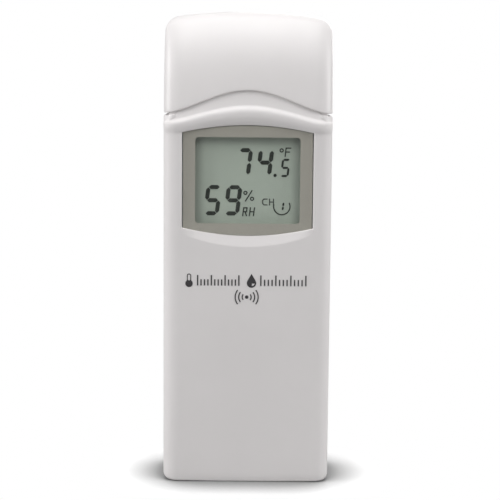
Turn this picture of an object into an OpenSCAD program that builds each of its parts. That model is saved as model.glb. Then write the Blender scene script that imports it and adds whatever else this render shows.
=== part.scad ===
// Wireless temperature and humidity sensor for outdoors.
// A slim white case with a display near the top, a rain hood over a vented neck, and two AA
// cells behind a rear door that slides down. The radio, display and sensors share one board.
// Frame: +Z up, the display faces -Y, and the origin is the centre of the base.

/* [Case] */
// Width of the case
case_w = 43; // [43:0.5:46]
// Height from the base to the crown of the hood
case_h = 121.5; // [121:0.5:126]
// Depth from the brow ridge to the face of the battery door
case_d = 21; // [21:0.5:23]
// Thickness of the case walls
wall = 1.8; // [1.5:0.1:1.8]
// Radius of the long vertical edges
edge_r = 3; // [2.5:0.25:3.5]
// Radius of the bottom corners, seen from the front
foot_r = 2.2; // [1.5:0.1:3]

/* [Hood] */
// Height of the hood's rim at its sides and back
rim_z = 95.8; // [95.6:0.1:96.2]
// How far the rim rises in an arch over the display
rim_arch = 5.8; // [4:0.2:6.4]
// Thickness of the hood's walls
hood_wall = 1.6; // [1.2:0.1:1.6]
// Radius of the crown, seen from the front
crown_r = 130; // [100:5:200]
// How far the hood's front leans back evenly on its way up
lean_even = 1.9; // [1:0.1:2.2]
// How much further it curves back near the crown
lean_curl = 6; // [3:0.5:6.5]

/* [Display] */
// Width of the window
window_w = 33.4; // [32:0.1:34.4]
// Height of the window at its middle
window_h = 28.1; // [27.8:0.1:28.6]
// How far the window's top and bottom edges bow outwards
window_bow = 1.9; // [1:0.1:2.2]
// Height of the window's middle above the base
window_z = 78.8; // [78.5:0.1:78.9]
// Width of the part of the display that can be seen
view_w = 26.7; // [26:0.1:27.2]
// Height of the part of the display that can be seen
view_h = 22; // [21.6:0.1:22.2]

/* [Power] */
// Diameter of a cell
cell_d = 14.2; // [13.8:0.1:14.2]
// Length of a cell with its positive nub
cell_l = 50.3; // [49.8:0.1:50.5]
// Width of the battery door's face
door_w = 34; // [33.4:0.2:34]
// Height of the battery door's top edge
door_top = 80; // [79.6:0.1:80.2]
// Thickness of the battery door
door_t = 1.6; // [1.5:0.1:1.7]

/* [Channel switch] */
// Travel of each slider from off to on
dip_travel = 1.6; // [1.2:0.1:1.6]
// Distance between neighbouring sliders
dip_pitch = 2.54; // [2.4:0.01:2.54]

/* [Keyhole] */
// Radius of the hole that passes the screw's head
head_r = 4; // [3.6:0.1:4.2]
// Width of the slot that the screw's shank slides up
slot_w = 4.4; // [4:0.1:4.6]

/* [Hidden] */
$fn = 48;
large_fn = 360;
past = 1;            // how far a cut runs past the face it opens
gap = 0.1;           // clearance between parts that only meet

// Depths, from the front to the back
hw = case_w / 2;
back_y = case_d / 2;
ridge_y = -case_d / 2;
ridge_proud = 0.4;
face_y = ridge_y + ridge_proud;
inner_y = face_y + wall;
window_recess = 0.8;
scoop_r = 44;
scoop_reach = 2.9;
lens_y = face_y + window_recess;
lens_t = 1;
mask_t = 0.1;
ledge_y = lens_y + lens_t + mask_t;
ledge_t = 1;
lcd_y = ledge_y + ledge_t + gap;
lcd_t = 1.6;
zebra_h = 2.2;
board_y = lcd_y + lcd_t + zebra_h;
board_t = 1.2;
board_back = board_y + board_t;
parting_y = -1.5;
door_in_y = back_y - door_t;
seat_y = door_in_y - gap;
seat_t = 1.6;

// Heights of the body and the neck under the hood
shoulder_z = rim_z - 0.8;
shoulder_arch = rim_arch + 0.3;
ridge_z = rim_z - 1.9;
ridge_arch = rim_arch - 2.2;
ridge_band = 0.9;
brow_y = face_y + 0.7;
arch_fullness = 0.85;
arch_steps = 44;
neck_half = hw - 2.8;
neck_front = ridge_y + 4.1;
neck_back = back_y - 2.5;
neck_thin_back = back_y - 5.5;
neck_step_z = rim_z + 5.7;
neck_top = case_h - 11.5;
neck_wall = 1.4;
neck_r = 2;
vent_w = 1.6;
vent_h = 9;
vent_pitch = 4;

// Hood
hood_y = ridge_y + 0.2;
hood_corner_r = 3.5;
hood_edge_r = 4;
lean_top = case_h - 2;
lean_power = 4.5;
lean_steps = 26;
rib_half = 0.6;
rib_x = 10;
hood_screw_x = 14;
hood_screw_z = rim_z + 2.8;
hood_boss_r = 2.2;
keyhole_z = rim_z + 9.7;
keyhole_rise = 5;

// Display stack
view_r = 0.9;
aperture_margin = 0.3;
pad_margin = 1.2;
lcd_half = 15.5;
lcd_h = view_h + 3.4;
frame_half = 16.3;
frame_h = lcd_h + 2;

// Battery bay
cell_r = cell_d / 2;
cell_x = cell_r + 0.3;
cell_y = seat_y - 0.2 - cell_r;
bay_half = cell_x + cell_r + 0.4;
bay_y = cell_y - cell_r - gap;
bay_wall = 1.2;
bay_z0 = 5.6;
spring_h = 5.5;
plate_t = 0.4;
dimple_h = 0.2;
bay_z1 = bay_z0 + 2 * plate_t + dimple_h + cell_l + spring_h;
nub_r = 2.75;
nub_h = 1.2;
sleeve_t = 0.15;
sleeve_end = 0.8;
tab_x = 11.5;
tab_w = 2.4;
tab_rise = 4.8;
plate_y0 = cell_y - 5;
plate_y1 = cell_y + 5;
spring_wire = 0.4;
spring_turns = 4;

// Door and its seat
door_half = door_w / 2;
tongue_w = 1.35;
tongue_t = 0.8;
door_foot = 0.4;
catch_half = 6;
catch_h = 2.2;
ledge_h = 3.1;
door_r = 1.2;
grip_z = door_top - 9;
grip_half = 7;
grip_rise = 4.5;
grip_depth = 0.7;
grip_bars = 4;
bar_pitch = 2.1;
bar_h = 0.8;
arrow_z = grip_z - 10;
arrow_half = 2.6;
arrow_depth = 0.3;
gasket_half = bay_half + 1.15;
gasket_z0 = bay_z0 - 2;
gasket_z1 = door_top - 1.4;
gasket_w = 1.2;
gasket_h = 1;
gasket_r = 2;

// Board and what is on it
board_half = hw - wall - 0.3;
board_z0 = window_z - frame_h / 2 + 0.1;
board_z1 = shoulder_z - 2.4;
tongue_half = 8;
board_tongue_z = neck_top - 4.5;
boss_x = hw - wall - 1.8;
low_boss_z = window_z - 10.3;
high_boss_z = shoulder_z - 5;
boss_r = 1.5;
screw_r = 0.8;
screw_fit = 0.02;
tube_r = 2.4;
screw_head_r = 1.7;
screw_head_t = 1.4;
screw_seat_y = back_y - 2.1;

// Channel switch
dip_w = 11.7;
dip_l = 9.9;
dip_h = 5.4;
dip_z = window_z - 6.9;
dip_top = board_back + dip_h;
well_half_x = dip_w / 2 + 0.55;
well_half_z = dip_l / 2 + 0.55;
well_wall = 1;
knob_w = 1.3;
knob_h = 0.9;
shoe_w = 1.8;
shoe_t = 0.8;
slot_roof = 0.7;
slide_play = 0.1;

function arch(x) = pow((1 + cos(180 * x / hw)) / 2, arch_fullness);
function rim_at(x) = rim_z + rim_arch * arch(x);
function shoulder_at(x) = shoulder_z + shoulder_arch * arch(x);
function ridge_at(x) = ridge_z + ridge_arch * arch(x);
arch_x = [for (i = [0:arch_steps]) hw * (2 * i / arch_steps - 1)];

// ---- shapes that repeat ----

module rrect(x0, y0, x1, y1, r) {
    translate([x0 + r, y0]) square([x1 - x0 - 2 * r, y1 - y0]);
    translate([x0, y0 + r]) square([x1 - x0, y1 - y0 - 2 * r]);
    for (x = [x0 + r, x1 - r], y = [y0 + r, y1 - r]) translate([x, y]) circle(r);
}

// A flat shape in X and Y, drawn out from z0 to z1
module upright(z0, z1) translate([0, 0, z0]) linear_extrude(z1 - z0) children();

// A flat shape in X and Z, drawn out from y0 to y1
module face_on(y0, y1) translate([0, y1, 0]) rotate([90, 0, 0]) linear_extrude(y1 - y0) children();

// A flat shape in Y and Z, drawn out from x0 to x1
module side_on(x0, x1) translate([x0, 0, 0]) rotate([90, 0, 90]) linear_extrude(x1 - x0) children();

module block(x, y, z) translate([x[0], y[0], z[0]]) cube([x[1] - x[0], y[1] - y[0], z[1] - z[0]]);

module rod_y(x, z, r, y0, y1) translate([x, y0, z]) rotate([-90, 0, 0]) cylinder(r = r, h = y1 - y0);

module screw_y(x, z, seat, tip, head_t = screw_head_t, head_r = screw_head_r) {
    difference() {
        rod_y(x, z, head_r, seat, seat + head_t);
        for (a = [0, 90])
            translate([x, seat + head_t, z]) rotate([0, a, 0])
                cube([head_r * 1.2, head_t, head_r * 0.26], center = true);
    }
    rod_y(x, z, screw_r, tip, seat + head_t / 4);
}

// A round wire along a path of points; side is a direction that the path never follows
module wire(path, r, side, sides = 8) {
    n = len(path);
    tangent = [for (i = [0:n - 1]) path[min(i + 1, n - 1)] - path[max(i - 1, 0)]];
    points = [for (i = [0:n - 1]) let (
            t = tangent[i] / norm(tangent[i]),
            u = cross(t, side) / norm(cross(t, side)),
            v = cross(t, u)
        ) for (j = [0:sides - 1]) path[i] + r * (cos(360 * j / sides) * u + sin(360 * j / sides) * v)];
    walls = [for (i = [0:n - 2], j = [0:sides - 1]) let (
            a = i * sides + j,
            b = i * sides + (j + 1) % sides
        ) each [[a, a + sides, b + sides], [a, b + sides, b]]];
    first = [for (j = [0:sides - 1]) j];
    last = [for (j = [sides - 1:-1:0]) (n - 1) * sides + j];
    polyhedron(points, concat(walls, [first, last]));
}

// ---- case ----

module case_plan(inset) rrect(-hw + inset, face_y + inset, hw - inset, back_y - inset, edge_r - inset);

module case_form(z1) intersection() {
    upright(0, z1) case_plan(0);
    face_on(ridge_y, back_y) rrect(-hw, 0, hw, case_h, foot_r);
    side_on(-hw, hw) rrect(face_y, 0, back_y, case_h, 1);
}

module under_curve(heights) polygon(concat(
    [[-hw - past, 0], [-hw - past, heights[0]]],
    [for (i = [0:arch_steps]) [arch_x[i], heights[i]]],
    [[hw + past, heights[arch_steps]], [hw + past, 0]]
));

module under_shoulder(drop) under_curve([for (x = arch_x) shoulder_at(x) - drop]);

module lens_outline(inset) intersection() {
    half_h = window_h / 2;
    bow_r = (pow(window_w / 2, 2) + pow(window_bow, 2)) / (2 * window_bow);
    translate([-window_w / 2 + inset, window_z - half_h]) square([window_w - 2 * inset, window_h]);
    translate([0, window_z + half_h - bow_r]) circle(bow_r - inset, $fn = large_fn);
    translate([0, window_z - half_h + bow_r]) circle(bow_r - inset, $fn = large_fn);
}

module view_outline(margin) rrect(
    -view_w / 2 - margin, window_z - view_h / 2 - margin,
    view_w / 2 + margin, window_z + view_h / 2 + margin, view_r
);

module neck_plan(y1, inset) rrect(
    -neck_half + inset, neck_front + inset, neck_half - inset, y1 - inset, neck_r - inset / 2
);

module neck_form(inset, z0) {
    upright(z0, neck_step_z - inset) neck_plan(neck_back, inset);
    upright(z0, neck_top - inset) neck_plan(neck_thin_back, inset);
}

module front_half() intersection() {
    children();
    block([-hw, hw], [ridge_y, parting_y], [0, case_h]);
}

module rear_half() intersection() {
    children();
    block([-hw, hw], [parting_y, back_y], [0, case_h]);
}

module brow() intersection() {
    upright(0, case_h) translate([0, -ridge_proud]) case_plan(0);
    face_on(ridge_y, face_y + past) difference() {
        under_curve([for (x = arch_x) ridge_at(x) + ridge_band]);
        under_curve([for (x = arch_x) ridge_at(x) - ridge_band]);
    }
}

// The shallow scoop that leads up to the bottom of the window
module scoop() intersection() {
    translate([0, face_y - past, window_z - window_h / 2 - scoop_reach + scoop_r]) rotate([-90, 0, 0])
        cylinder(
            r1 = scoop_r + scoop_reach * past / window_recess, r2 = scoop_r - scoop_reach,
            h = past + window_recess, $fn = large_fn
        );
    block([-hw, hw], [ridge_y - past, inner_y], [0, window_z - window_h / 2 + window_bow / 2]);
}

module front_cover() color("gainsboro") difference() {
    union() {
        front_half() difference() {
            intersection() {
                case_form(case_h);
                face_on(ridge_y, back_y) under_shoulder(0);
            }
            intersection() {
                upright(wall, case_h) case_plan(wall);
                face_on(inner_y, back_y) under_shoulder(wall);
            }
            face_on(ridge_y - past, brow_y) difference() {
                square([2 * case_w, 2 * case_h], center = true);
                under_curve([for (x = arch_x) ridge_at(x) + ridge_band]);
            }
        }
        brow();
        front_half() neck_form(0, shoulder_z - wall);
        block(
            [-frame_half - pad_margin, frame_half + pad_margin], [inner_y - gap, ledge_y + ledge_t],
            [window_z - window_h / 2 - pad_margin, window_z + window_h / 2 + pad_margin]
        );
        for (x = [-boss_x, boss_x], z = [low_boss_z, high_boss_z])
            rod_y(x, z, boss_r, inner_y - gap, board_y);
        for (x = [-12, 6]) {
            block([x, x + 6], [parting_y - 3, parting_y], [wall - 0.3, wall + gap + 1.2]);
            block([x, x + 6], [parting_y - 3, parting_y + 2.6], [wall + gap, wall + gap + 1.2]);
        }
    }
    front_half() neck_form(neck_wall, shoulder_z - 2 * wall);
    scoop();
    face_on(ridge_y - past, ledge_y) lens_outline(0);
    face_on(ridge_y, board_y) view_outline(aperture_margin);
    for (x = [-boss_x, boss_x], z = [low_boss_z, high_boss_z])
        rod_y(x, z, screw_r + screw_fit, inner_y + 0.5, board_y + past);
    for (i = [-3:3]) if (i != 0) translate([i * vent_pitch, neck_front, neck_top - 3])
        block([-vent_w / 2, vent_w / 2], [-past, neck_wall + past], [-vent_h, 0]);
}

module gasket_path(w) difference() {
    rrect(-gasket_half - w / 2, gasket_z0 - w / 2, gasket_half + w / 2, gasket_z1 + w / 2, gasket_r + w / 2);
    rrect(-gasket_half + w / 2, gasket_z0 + w / 2, gasket_half - w / 2, gasket_z1 - w / 2, gasket_r - w / 2);
}

module rear_shell() rear_half() difference() {
    case_form(shoulder_z);
    intersection() {
        upright(wall, case_h) case_plan(wall);
        side_on(-hw, hw) polygon([
            [ridge_y, wall], [seat_y - seat_t, wall],
            [seat_y - seat_t, door_top + ledge_h], [back_y - wall, door_top + ledge_h],
            [back_y - wall, shoulder_z - wall], [ridge_y, shoulder_z - wall]
        ]);
    }
}

module rear_housing() color("gainsboro") difference() {
    union() {
        rear_shell();
        block(
            [-bay_half - bay_wall, bay_half + bay_wall], [bay_y - bay_wall, seat_y - seat_t / 2],
            [bay_z0 - bay_wall, bay_z1 + bay_wall]
        );
        block(
            [-well_half_x - well_wall, well_half_x + well_wall], [board_back + 0.5, seat_y - seat_t / 2],
            [dip_z - well_half_z - well_wall, dip_z + well_half_z + well_wall]
        );
        intersection() {
            for (x = [-boss_x, boss_x]) rod_y(x, high_boss_z, tube_r, parting_y, back_y - wall / 2);
            upright(0, case_h) case_plan(wall / 2);
        }
        intersection() {
            for (x = [-boss_x, boss_x]) rod_y(x, high_boss_z, tube_r, board_back + gap, parting_y + past);
            upright(0, case_h) case_plan(wall + gap);
        }
        rear_half() neck_form(0, shoulder_z - wall);
        for (x = [-hood_screw_x, hood_screw_x]) rod_y(x, hood_screw_z, hood_boss_r, neck_back - 5, neck_back);
    }
    rear_half() difference() {
        neck_form(neck_wall, shoulder_z - 2 * wall);
        for (x = [-hood_screw_x, hood_screw_x]) rod_y(x, hood_screw_z, hood_boss_r, neck_back - 5, neck_back);
    }
    block([-bay_half, bay_half], [bay_y, seat_y + past], [bay_z0, bay_z1]);
    translate([0, 0, dip_z])
        block([-well_half_x, well_half_x], [board_back, seat_y + past], [-well_half_z, well_half_z]);
    block([-door_half - gap, door_half + gap], [seat_y, back_y + past], [-past, door_top + gap]);
    block([-door_half - tongue_w - 0.15, door_half + tongue_w + 0.15], [seat_y, door_in_y + tongue_t + gap],
        [-past, door_top + gap]);
    block([-catch_half - gap, catch_half + gap], [seat_y, door_in_y + tongue_t + gap],
        [door_top, door_top + catch_h + 0.3]);
    face_on(seat_y - gasket_h, seat_y + past) gasket_path(gasket_w + 0.2);
    for (x = [-tab_x, tab_x]) translate([x, cell_y - 1.3, bay_z1])
        block([-tab_w / 2 - gap, tab_w / 2 + gap], [-0.3, 0.3], [-past, bay_wall + past]);
    for (x = [-boss_x, boss_x]) {
        rod_y(x, high_boss_z, screw_r + 0.15, board_back, back_y);
        rod_y(x, high_boss_z, screw_head_r + 0.2, screw_seat_y, back_y + past);
    }
    for (x = [-hood_screw_x, hood_screw_x])
        rod_y(x, hood_screw_z, screw_r + screw_fit, neck_back - 4.5, neck_back + past);
}

// ---- hood ----

// The hood's front, seen from the side: t runs from 0 at the rim to 1 near the crown, and a little past both
function lean_y(t) = hood_y + lean_even * t + lean_curl * pow(max(t, 0), lean_power);
function lean_tilt(t) = atan(
    (lean_even + lean_curl * lean_power * pow(max(t, 0), lean_power - 1)) / (lean_top - rim_z)
);
function lean_point(share, inset) = let (
    t = -0.3 + 1.5 * share,
    tilt = lean_tilt(t)
) [lean_y(t) + inset * cos(tilt), rim_z + (lean_top - rim_z) * t - inset * sin(tilt)];

module hood_form(inset) intersection() {
    upright(0, case_h) rrect(-hw + inset, hood_y + inset, hw - inset, back_y - inset, edge_r - inset);
    face_on(ridge_y, back_y) intersection() {
        rrect(-hw + inset, 0, hw - inset, case_h - inset, hood_corner_r - inset);
        translate([0, case_h - crown_r]) circle(crown_r - inset, $fn = large_fn);
    }
    side_on(-hw, hw) intersection() {
        rrect(hood_y + inset, 0, back_y - inset, case_h - inset, hood_edge_r - inset);
        polygon(concat(
            [for (i = [0:lean_steps]) lean_point(i / lean_steps, inset)],
            [[2 * case_d, case_h], [2 * case_d, 0]]
        ));
    }
}

module keyhole_outline() {
    translate([0, keyhole_z]) circle(head_r);
    translate([0, keyhole_z + keyhole_rise]) circle(slot_w / 2);
    translate([-slot_w / 2, keyhole_z]) square([slot_w, keyhole_rise]);
}

module hood() color("whitesmoke") difference() {
    union() {
        difference() {
            hood_form(0);
            hood_form(hood_wall);
        }
        intersection() {
            for (x = [-rib_x, rib_x]) block([x - rib_half, x + rib_half], [-4, 4], [neck_top, case_h]);
            hood_form(hood_wall / 2);
        }
        for (x = [-hood_screw_x, hood_screw_x])
            rod_y(x, hood_screw_z, hood_boss_r, neck_back + gap / 2, back_y - hood_wall / 2);
    }
    block([-hw - past, hw + past], [ridge_y - past, back_y + past], [-past, rim_z]);
    face_on(ridge_y - past, 0) under_curve([for (x = arch_x) rim_at(x)]);
    face_on(back_y - hood_wall - past, back_y + past) keyhole_outline();
    for (x = [-hood_screw_x, hood_screw_x]) {
        rod_y(x, hood_screw_z, screw_r + 0.15, neck_back - past, back_y);
        rod_y(x, hood_screw_z, screw_head_r + 0.2, back_y - 1.2, back_y + past);
    }
}

// ---- window and front marking ----

module display_window() color("lightgrey", 0.4) face_on(lens_y, lens_y + lens_t) lens_outline(gap);

module window_mask() color("darkkhaki") face_on(lens_y + lens_t, ledge_y) difference() {
    lens_outline(gap);
    view_outline(0);
}

module thermometer_icon() {
    stem = 0.55;
    line = 0.24;
    difference() {
        union() {
            rrect(-stem, -0.9, stem, 1.7, stem * 0.98);
            translate([0, -0.85]) circle(0.95);
        }
        rrect(-stem + line, -0.1, stem - line, 1.7 - line, (stem - line) * 0.98);
    }
}

module drop_icon() difference() {
    union() {
        translate([0, -0.65]) circle(1.2);
        polygon([[-1.03, -0.03], [0, 1.75], [1.03, -0.03]]);
    }
    translate([0.1, -0.65]) difference() {
        circle(0.75);
        translate([-1, -0.1]) square(2);
        translate([-1.2, -1]) square([1.2, 2]);
    }
}

// A row of short and long marks, like the scale of a dial
module tick_scale(count, pitch) for (i = [0:count - 1]) {
    tall = i % 4 == 0 ? 2.7 : 1.6;
    translate([i * pitch - 0.17, -1.35]) square([0.34, tall]);
}

module wave_arc(r, spread, line) difference() {
    circle(r);
    circle(r - line);
    far = 3 * r * [cos(spread), sin(spread)];
    for (s = [0, 180]) rotate(s) polygon([[0, 0], far, [0, 9 * r], [-far[0], far[1]]]);
}

module radio_icon() {
    circle(0.45);
    for (r = [1.3, 2.2, 3.1]) wave_arc(r, 38, 0.3);
}

module front_icons() color("dimgray") face_on(face_y - 0.06, face_y) {
    row_z = window_z - 25.6;
    translate([-14.8, row_z]) thermometer_icon();
    translate([-12.6, row_z]) tick_scale(13, 0.88);
    translate([1.2, row_z]) drop_icon();
    translate([3.6, row_z]) tick_scale(13, 0.96);
    translate([0, row_z - 4.3]) radio_icon();
}

// ---- display ----

module lcd_panel() color("darkseagreen") {
    block([-lcd_half, lcd_half], [lcd_y + lcd_t / 2, lcd_y + lcd_t],
        [window_z - lcd_h / 2, window_z + lcd_h / 2]);
    block([-lcd_half, lcd_half], [lcd_y, lcd_y + lcd_t / 2 + gap],
        [window_z - view_h / 2 - 0.6, window_z + view_h / 2 + 0.6]);
}

// One bar of a digit, lying along X with pointed ends
module bar(l, t) polygon([
    [-l / 2, 0], [-l / 2 + t / 2, t / 2], [l / 2 - t / 2, t / 2],
    [l / 2, 0], [l / 2 - t / 2, -t / 2], [-l / 2 + t / 2, -t / 2]
]);

// A seven-bar digit standing on the origin; lit holds its bars: 0 top, 1 and 2 right,
// 3 bottom, 4 and 5 left, 6 middle
module digit(lit, w, h, t) {
    reach = h / 2 - t / 2;
    side = (w - t) / 2;
    ease = t * 0.16;
    place = [
        [0, reach * 2, 0], [side, reach * 1.5, 90], [side, reach * 0.5, 90], [0, 0, 0],
        [-side, reach * 0.5, 90], [-side, reach * 1.5, 90], [0, reach, 0]
    ];
    slant = 0.12;
    multmatrix([[1, slant, 0, 0], [0, 1, 0, 0], [0, 0, 1, 0], [0, 0, 0, 1]])
        translate([w / 2, t / 2]) for (i = lit) translate([place[i][0], place[i][1]]) rotate(place[i][2])
            bar((place[i][2] == 0 ? w - t : reach) - ease, t);
}

// Strokes of a small letter, each from one point to another
module letter(strokes, line) for (s = strokes) {
    along = s[1] - s[0];
    translate(s[0]) rotate(atan2(along[1], along[0]))
        translate([-line / 2, -line / 2]) square([norm(along) + line, line]);
}

module ring_mark(r, line) difference() {
    circle(r);
    circle(r - line);
}

module readout() {
    seven = [0, 1, 2];
    four = [1, 2, 5, 6];
    five = [0, 2, 3, 5, 6];
    nine = [0, 1, 2, 3, 5, 6];
    top_row = 0.8;
    low_row = -9.2;
    fine = 0.3;
    translate([-3.4, top_row]) digit(seven, 3.9, 7.3, 1.05);
    translate([2, top_row]) digit(four, 3.9, 7.3, 1.05);
    translate([7, top_row + 0.4]) circle(0.42);
    translate([8.2, top_row]) digit(five, 2.2, 4.7, 0.55);
    translate([8.6, top_row + 6.8]) ring_mark(0.55, fine);
    translate([9.5, top_row + 5.3])
        letter([[[0, 0], [0.25, 2.1]], [[0.25, 2.1], [1.4, 2.1]], [[0.12, 1.1], [1.1, 1.1]]], fine);
    translate([-11.4, low_row]) digit(five, 4, 7.8, 1.05);
    translate([-6.2, low_row]) digit(nine, 4, 7.8, 1.05);
    translate([0.3, low_row + 5.1]) {
        translate([-0.85, 0.75]) ring_mark(0.55, fine);
        translate([0.85, -0.75]) ring_mark(0.55, fine);
        letter([[[-0.8, -1.3], [0.8, 1.3]]], fine);
    }
    translate([-1.2, low_row]) letter([
        [[0, 0], [0.25, 2]], [[0.25, 2], [1.1, 2]], [[1.1, 2], [0.98, 1]], [[0.12, 1], [0.98, 1]],
        [[0.6, 1], [0.95, 0]], [[1.7, 0], [1.95, 2]], [[1.82, 1], [2.85, 1]], [[2.75, 0], [3, 2]]
    ], fine);
    translate([3.9, low_row + 2.8]) letter([
        [[0.35, 0], [0, 0.35]], [[0, 0.35], [0, 1.15]], [[0, 1.15], [0.35, 1.5]], [[0.35, 1.5], [1.1, 1.5]],
        [[0.35, 0], [1.1, 0]], [[1.75, 0], [1.75, 1.5]], [[2.75, 0], [2.75, 1.5]],
        [[1.75, 0.75], [2.75, 0.75]]
    ], fine * 0.8);
    translate([8.8, low_row + 2.4]) difference() {
        ring_mark(2.25, fine);
        polygon([[0, 0], [4, 2.1], [0, 8], [-4, 1.2]]);
    }
    translate([7.5, low_row + 1.2]) digit([1, 2], 1.7, 2.5, 0.45);
}

module lcd_segments() color("darkslategray")
    face_on(lcd_y - 0.06, lcd_y) translate([0, window_z]) readout();

module lcd_frame() color("white") difference() {
    translate([0, 0, window_z])
        block([-frame_half, frame_half], [lcd_y, board_y - gap], [-frame_h / 2, frame_h / 2]);
    block([-lcd_half - gap, lcd_half + gap], [lcd_y - past, lcd_y + lcd_t + 0.05],
        [window_z - lcd_h / 2 - gap, window_z + lcd_h / 2 + gap]);
    for (s = [-1, 1])
        translate([0, 0, window_z + s * (lcd_h / 2 - 0.8)])
            block([-13.2, 13.2], [lcd_y, board_y], [-0.9, 0.9]);
    translate([0, 0, window_z])
        block([-13.2, 13.2], [lcd_y + lcd_t + 1, board_y], [1.5 - view_h / 2, view_h / 2 - 1.5]);
}

module zebra_strips() color("slategray") for (s = [-1, 1])
    translate([0, 0, window_z + s * (lcd_h / 2 - 0.8)])
        block([-13, 13], [lcd_y + lcd_t, board_y], [-0.7, 0.7]);

// ---- board ----

module main_board() color("seagreen") difference() {
    union() {
        block([-board_half, board_half], [board_y, board_back], [board_z0, board_z1]);
        block([-tongue_half, tongue_half], [board_y, board_back], [board_z1 - past, board_tongue_z]);
    }
    for (x = [-boss_x, boss_x], z = [low_boss_z, high_boss_z])
        rod_y(x, z, screw_r + 0.2, board_y - past, board_back + past);
}

module controller_chip() color("black") translate([4.6, board_back, window_z + 8.1])
    rotate([-90, 0, 0]) rotate_extrude() intersection() {
        translate([0, -4.9]) circle(6.5);
        square([4.5, 3]);
    }

module clock_crystal() color("silver") {
    translate([10.5, board_back + 1, window_z + 1.8]) rotate([0, 90, 0]) cylinder(r = 1, h = 6);
    for (z = [-0.35, 0.35])
        translate([8.7, board_back + 1, window_z + 1.8 + z]) rotate([0, 90, 0]) cylinder(r = 0.15, h = 1.9);
}

module smoothing_capacitor() color("midnightblue") {
    rod_y(12.4, window_z + 7, 2.5, board_back, board_back + 5.2);
    rod_y(12.4, window_z + 7, 2.2, board_back + 5.2, board_back + 5.5);
}

module chip_parts() color("burlywood") {
    for (i = [0:4]) block([-15.5 + 2.2 * i, -14.3 + 2.2 * i], [board_back, board_back + 0.55],
        [window_z + 0.2, window_z + 2.2]);
    for (i = [0:2]) block([-12.2, -10.2], [board_back, board_back + 0.55],
        [window_z - 3.6 - 2 * i, window_z - 2.5 - 2 * i]);
    for (i = [0:2]) block([10.2, 12.2], [board_back, board_back + 0.55],
        [window_z - 3.6 - 2 * i, window_z - 2.5 - 2 * i]);
    for (s = [-1, 1]) block([s * 5 - 0.6, s * 5 + 0.6], [board_back, board_back + 0.7],
        [board_tongue_z - 12, board_tongue_z - 10]);
}

radio_y = board_back + 2;
module radio_board() color("darkgreen")
    block([-14.8, -2.8], [radio_y, radio_y + 1], [window_z + 3.5, window_z + 14]);

module radio_resonator() color("silver") {
    translate([-6.2, radio_y + 1, window_z + 6.7]) rotate([-90, 0, 0]) cylinder(r1 = 2.4, r2 = 2.2, h = 2.2);
    block([-13.6, -9.6], [radio_y + 1, radio_y + 2], [window_z + 8.2, window_z + 12.2]);
}

module radio_pins() color("gold") for (i = [0:3])
    rod_y(-12.6 + 2.54 * i, window_z + 4.8, 0.32, board_back, radio_y);

module antenna_coil() color("chocolate") {
    coil_r = 2.6;
    turns = 7;
    turn_rise = 1.25;
    coil_x = -12;
    coil_y = -0.6;
    coil_z = board_z1 + 5.5;
    foot_x = coil_x + coil_r;
    foot_z = board_z1 - 1.5;
    steps = 14 * turns;
    foot = [
        [foot_x, board_back, foot_z], [foot_x, coil_y - 0.7, foot_z], [foot_x, coil_y - 0.2, foot_z + 0.2],
        [foot_x, coil_y, foot_z + 0.8], [foot_x, coil_y, coil_z - 1], [foot_x, coil_y + 0.1, coil_z - 0.35],
        [foot_x, coil_y + 0.5, coil_z - 0.02]
    ];
    coil = [for (i = [1:steps]) let (a = 360 * turns * i / steps)
        [coil_x + coil_r * cos(a), coil_y + coil_r * sin(a), coil_z + turn_rise * turns * i / steps]];
    wire(concat(foot, coil), 0.4, [1, 0, 1]);
}

module humidity_sensor() color("ivory") difference() {
    block([-2.6, 2.6], [board_back, board_back + 1.8], [board_tongue_z - 7.5, board_tongue_z - 2.3]);
    rod_y(0, board_tongue_z - 4.9, 1.1, board_back + 1, board_back + 1.8 + past);
}

module thermistor() color("black") {
    translate([5.8, board_back + 2.2, board_tongue_z - 2.4]) sphere(1.2);
    for (s = [-0.5, 0.5]) rod_y(5.8 + s, board_tongue_z - 2.4, 0.2, board_back, board_back + 1.4);
}

// ---- channel switch ----

module dip_place(i) translate([dip_pitch * (i - 1.5), 0, dip_z - dip_travel / 2]) children();

module dip_switch_body() color("firebrick") difference() {
    block([-dip_w / 2, dip_w / 2], [board_back, dip_top], [dip_z - dip_l / 2, dip_z + dip_l / 2]);
    for (i = [0:3]) translate([dip_pitch * (i - 1.5), 0, dip_z]) {
        knob_half = (knob_w + dip_travel) / 2 + slide_play;
        shoe_half = (shoe_w + dip_travel) / 2 + slide_play;
        block([-knob_w / 2 - slide_play, knob_w / 2 + slide_play],
            [dip_top - slot_roof - past, dip_top + past], [-knob_half, knob_half]);
        block([-shoe_w / 2 - slide_play, shoe_w / 2 + slide_play],
            [dip_top - slot_roof - shoe_t - 2 * slide_play, dip_top - slot_roof], [-shoe_half, shoe_half]);
    }
}

module dip_slider(i) color("white") dip_place(i) {
    shoe_top = dip_top - slot_roof - slide_play;
    block([-shoe_w / 2, shoe_w / 2], [shoe_top - shoe_t, shoe_top], [-shoe_w / 2, shoe_w / 2]);
    block([-knob_w / 2, knob_w / 2], [shoe_top - past / 2, dip_top + knob_h], [-knob_w / 2, knob_w / 2]);
}

// ---- power ----

module cell_can() {
    body_l = cell_l - nub_h;
    cylinder(r = cell_r - sleeve_t, h = body_l);
    translate([0, 0, body_l - past]) cylinder(r = nub_r, h = nub_h + past);
}

module cell_sleeve() translate([0, 0, sleeve_end]) difference() {
    cylinder(r = cell_r, h = cell_l - nub_h - 2 * sleeve_end);
    translate([0, 0, -past]) cylinder(r = cell_r - sleeve_t, h = cell_l);
}

left_z = bay_z0 + plate_t + spring_h;
right_z = bay_z1 - plate_t - spring_h;
module left_cell() translate([-cell_x, cell_y, left_z]) children();
module right_cell() translate([cell_x, cell_y, right_z]) rotate([180, 0, 0]) children();

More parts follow.
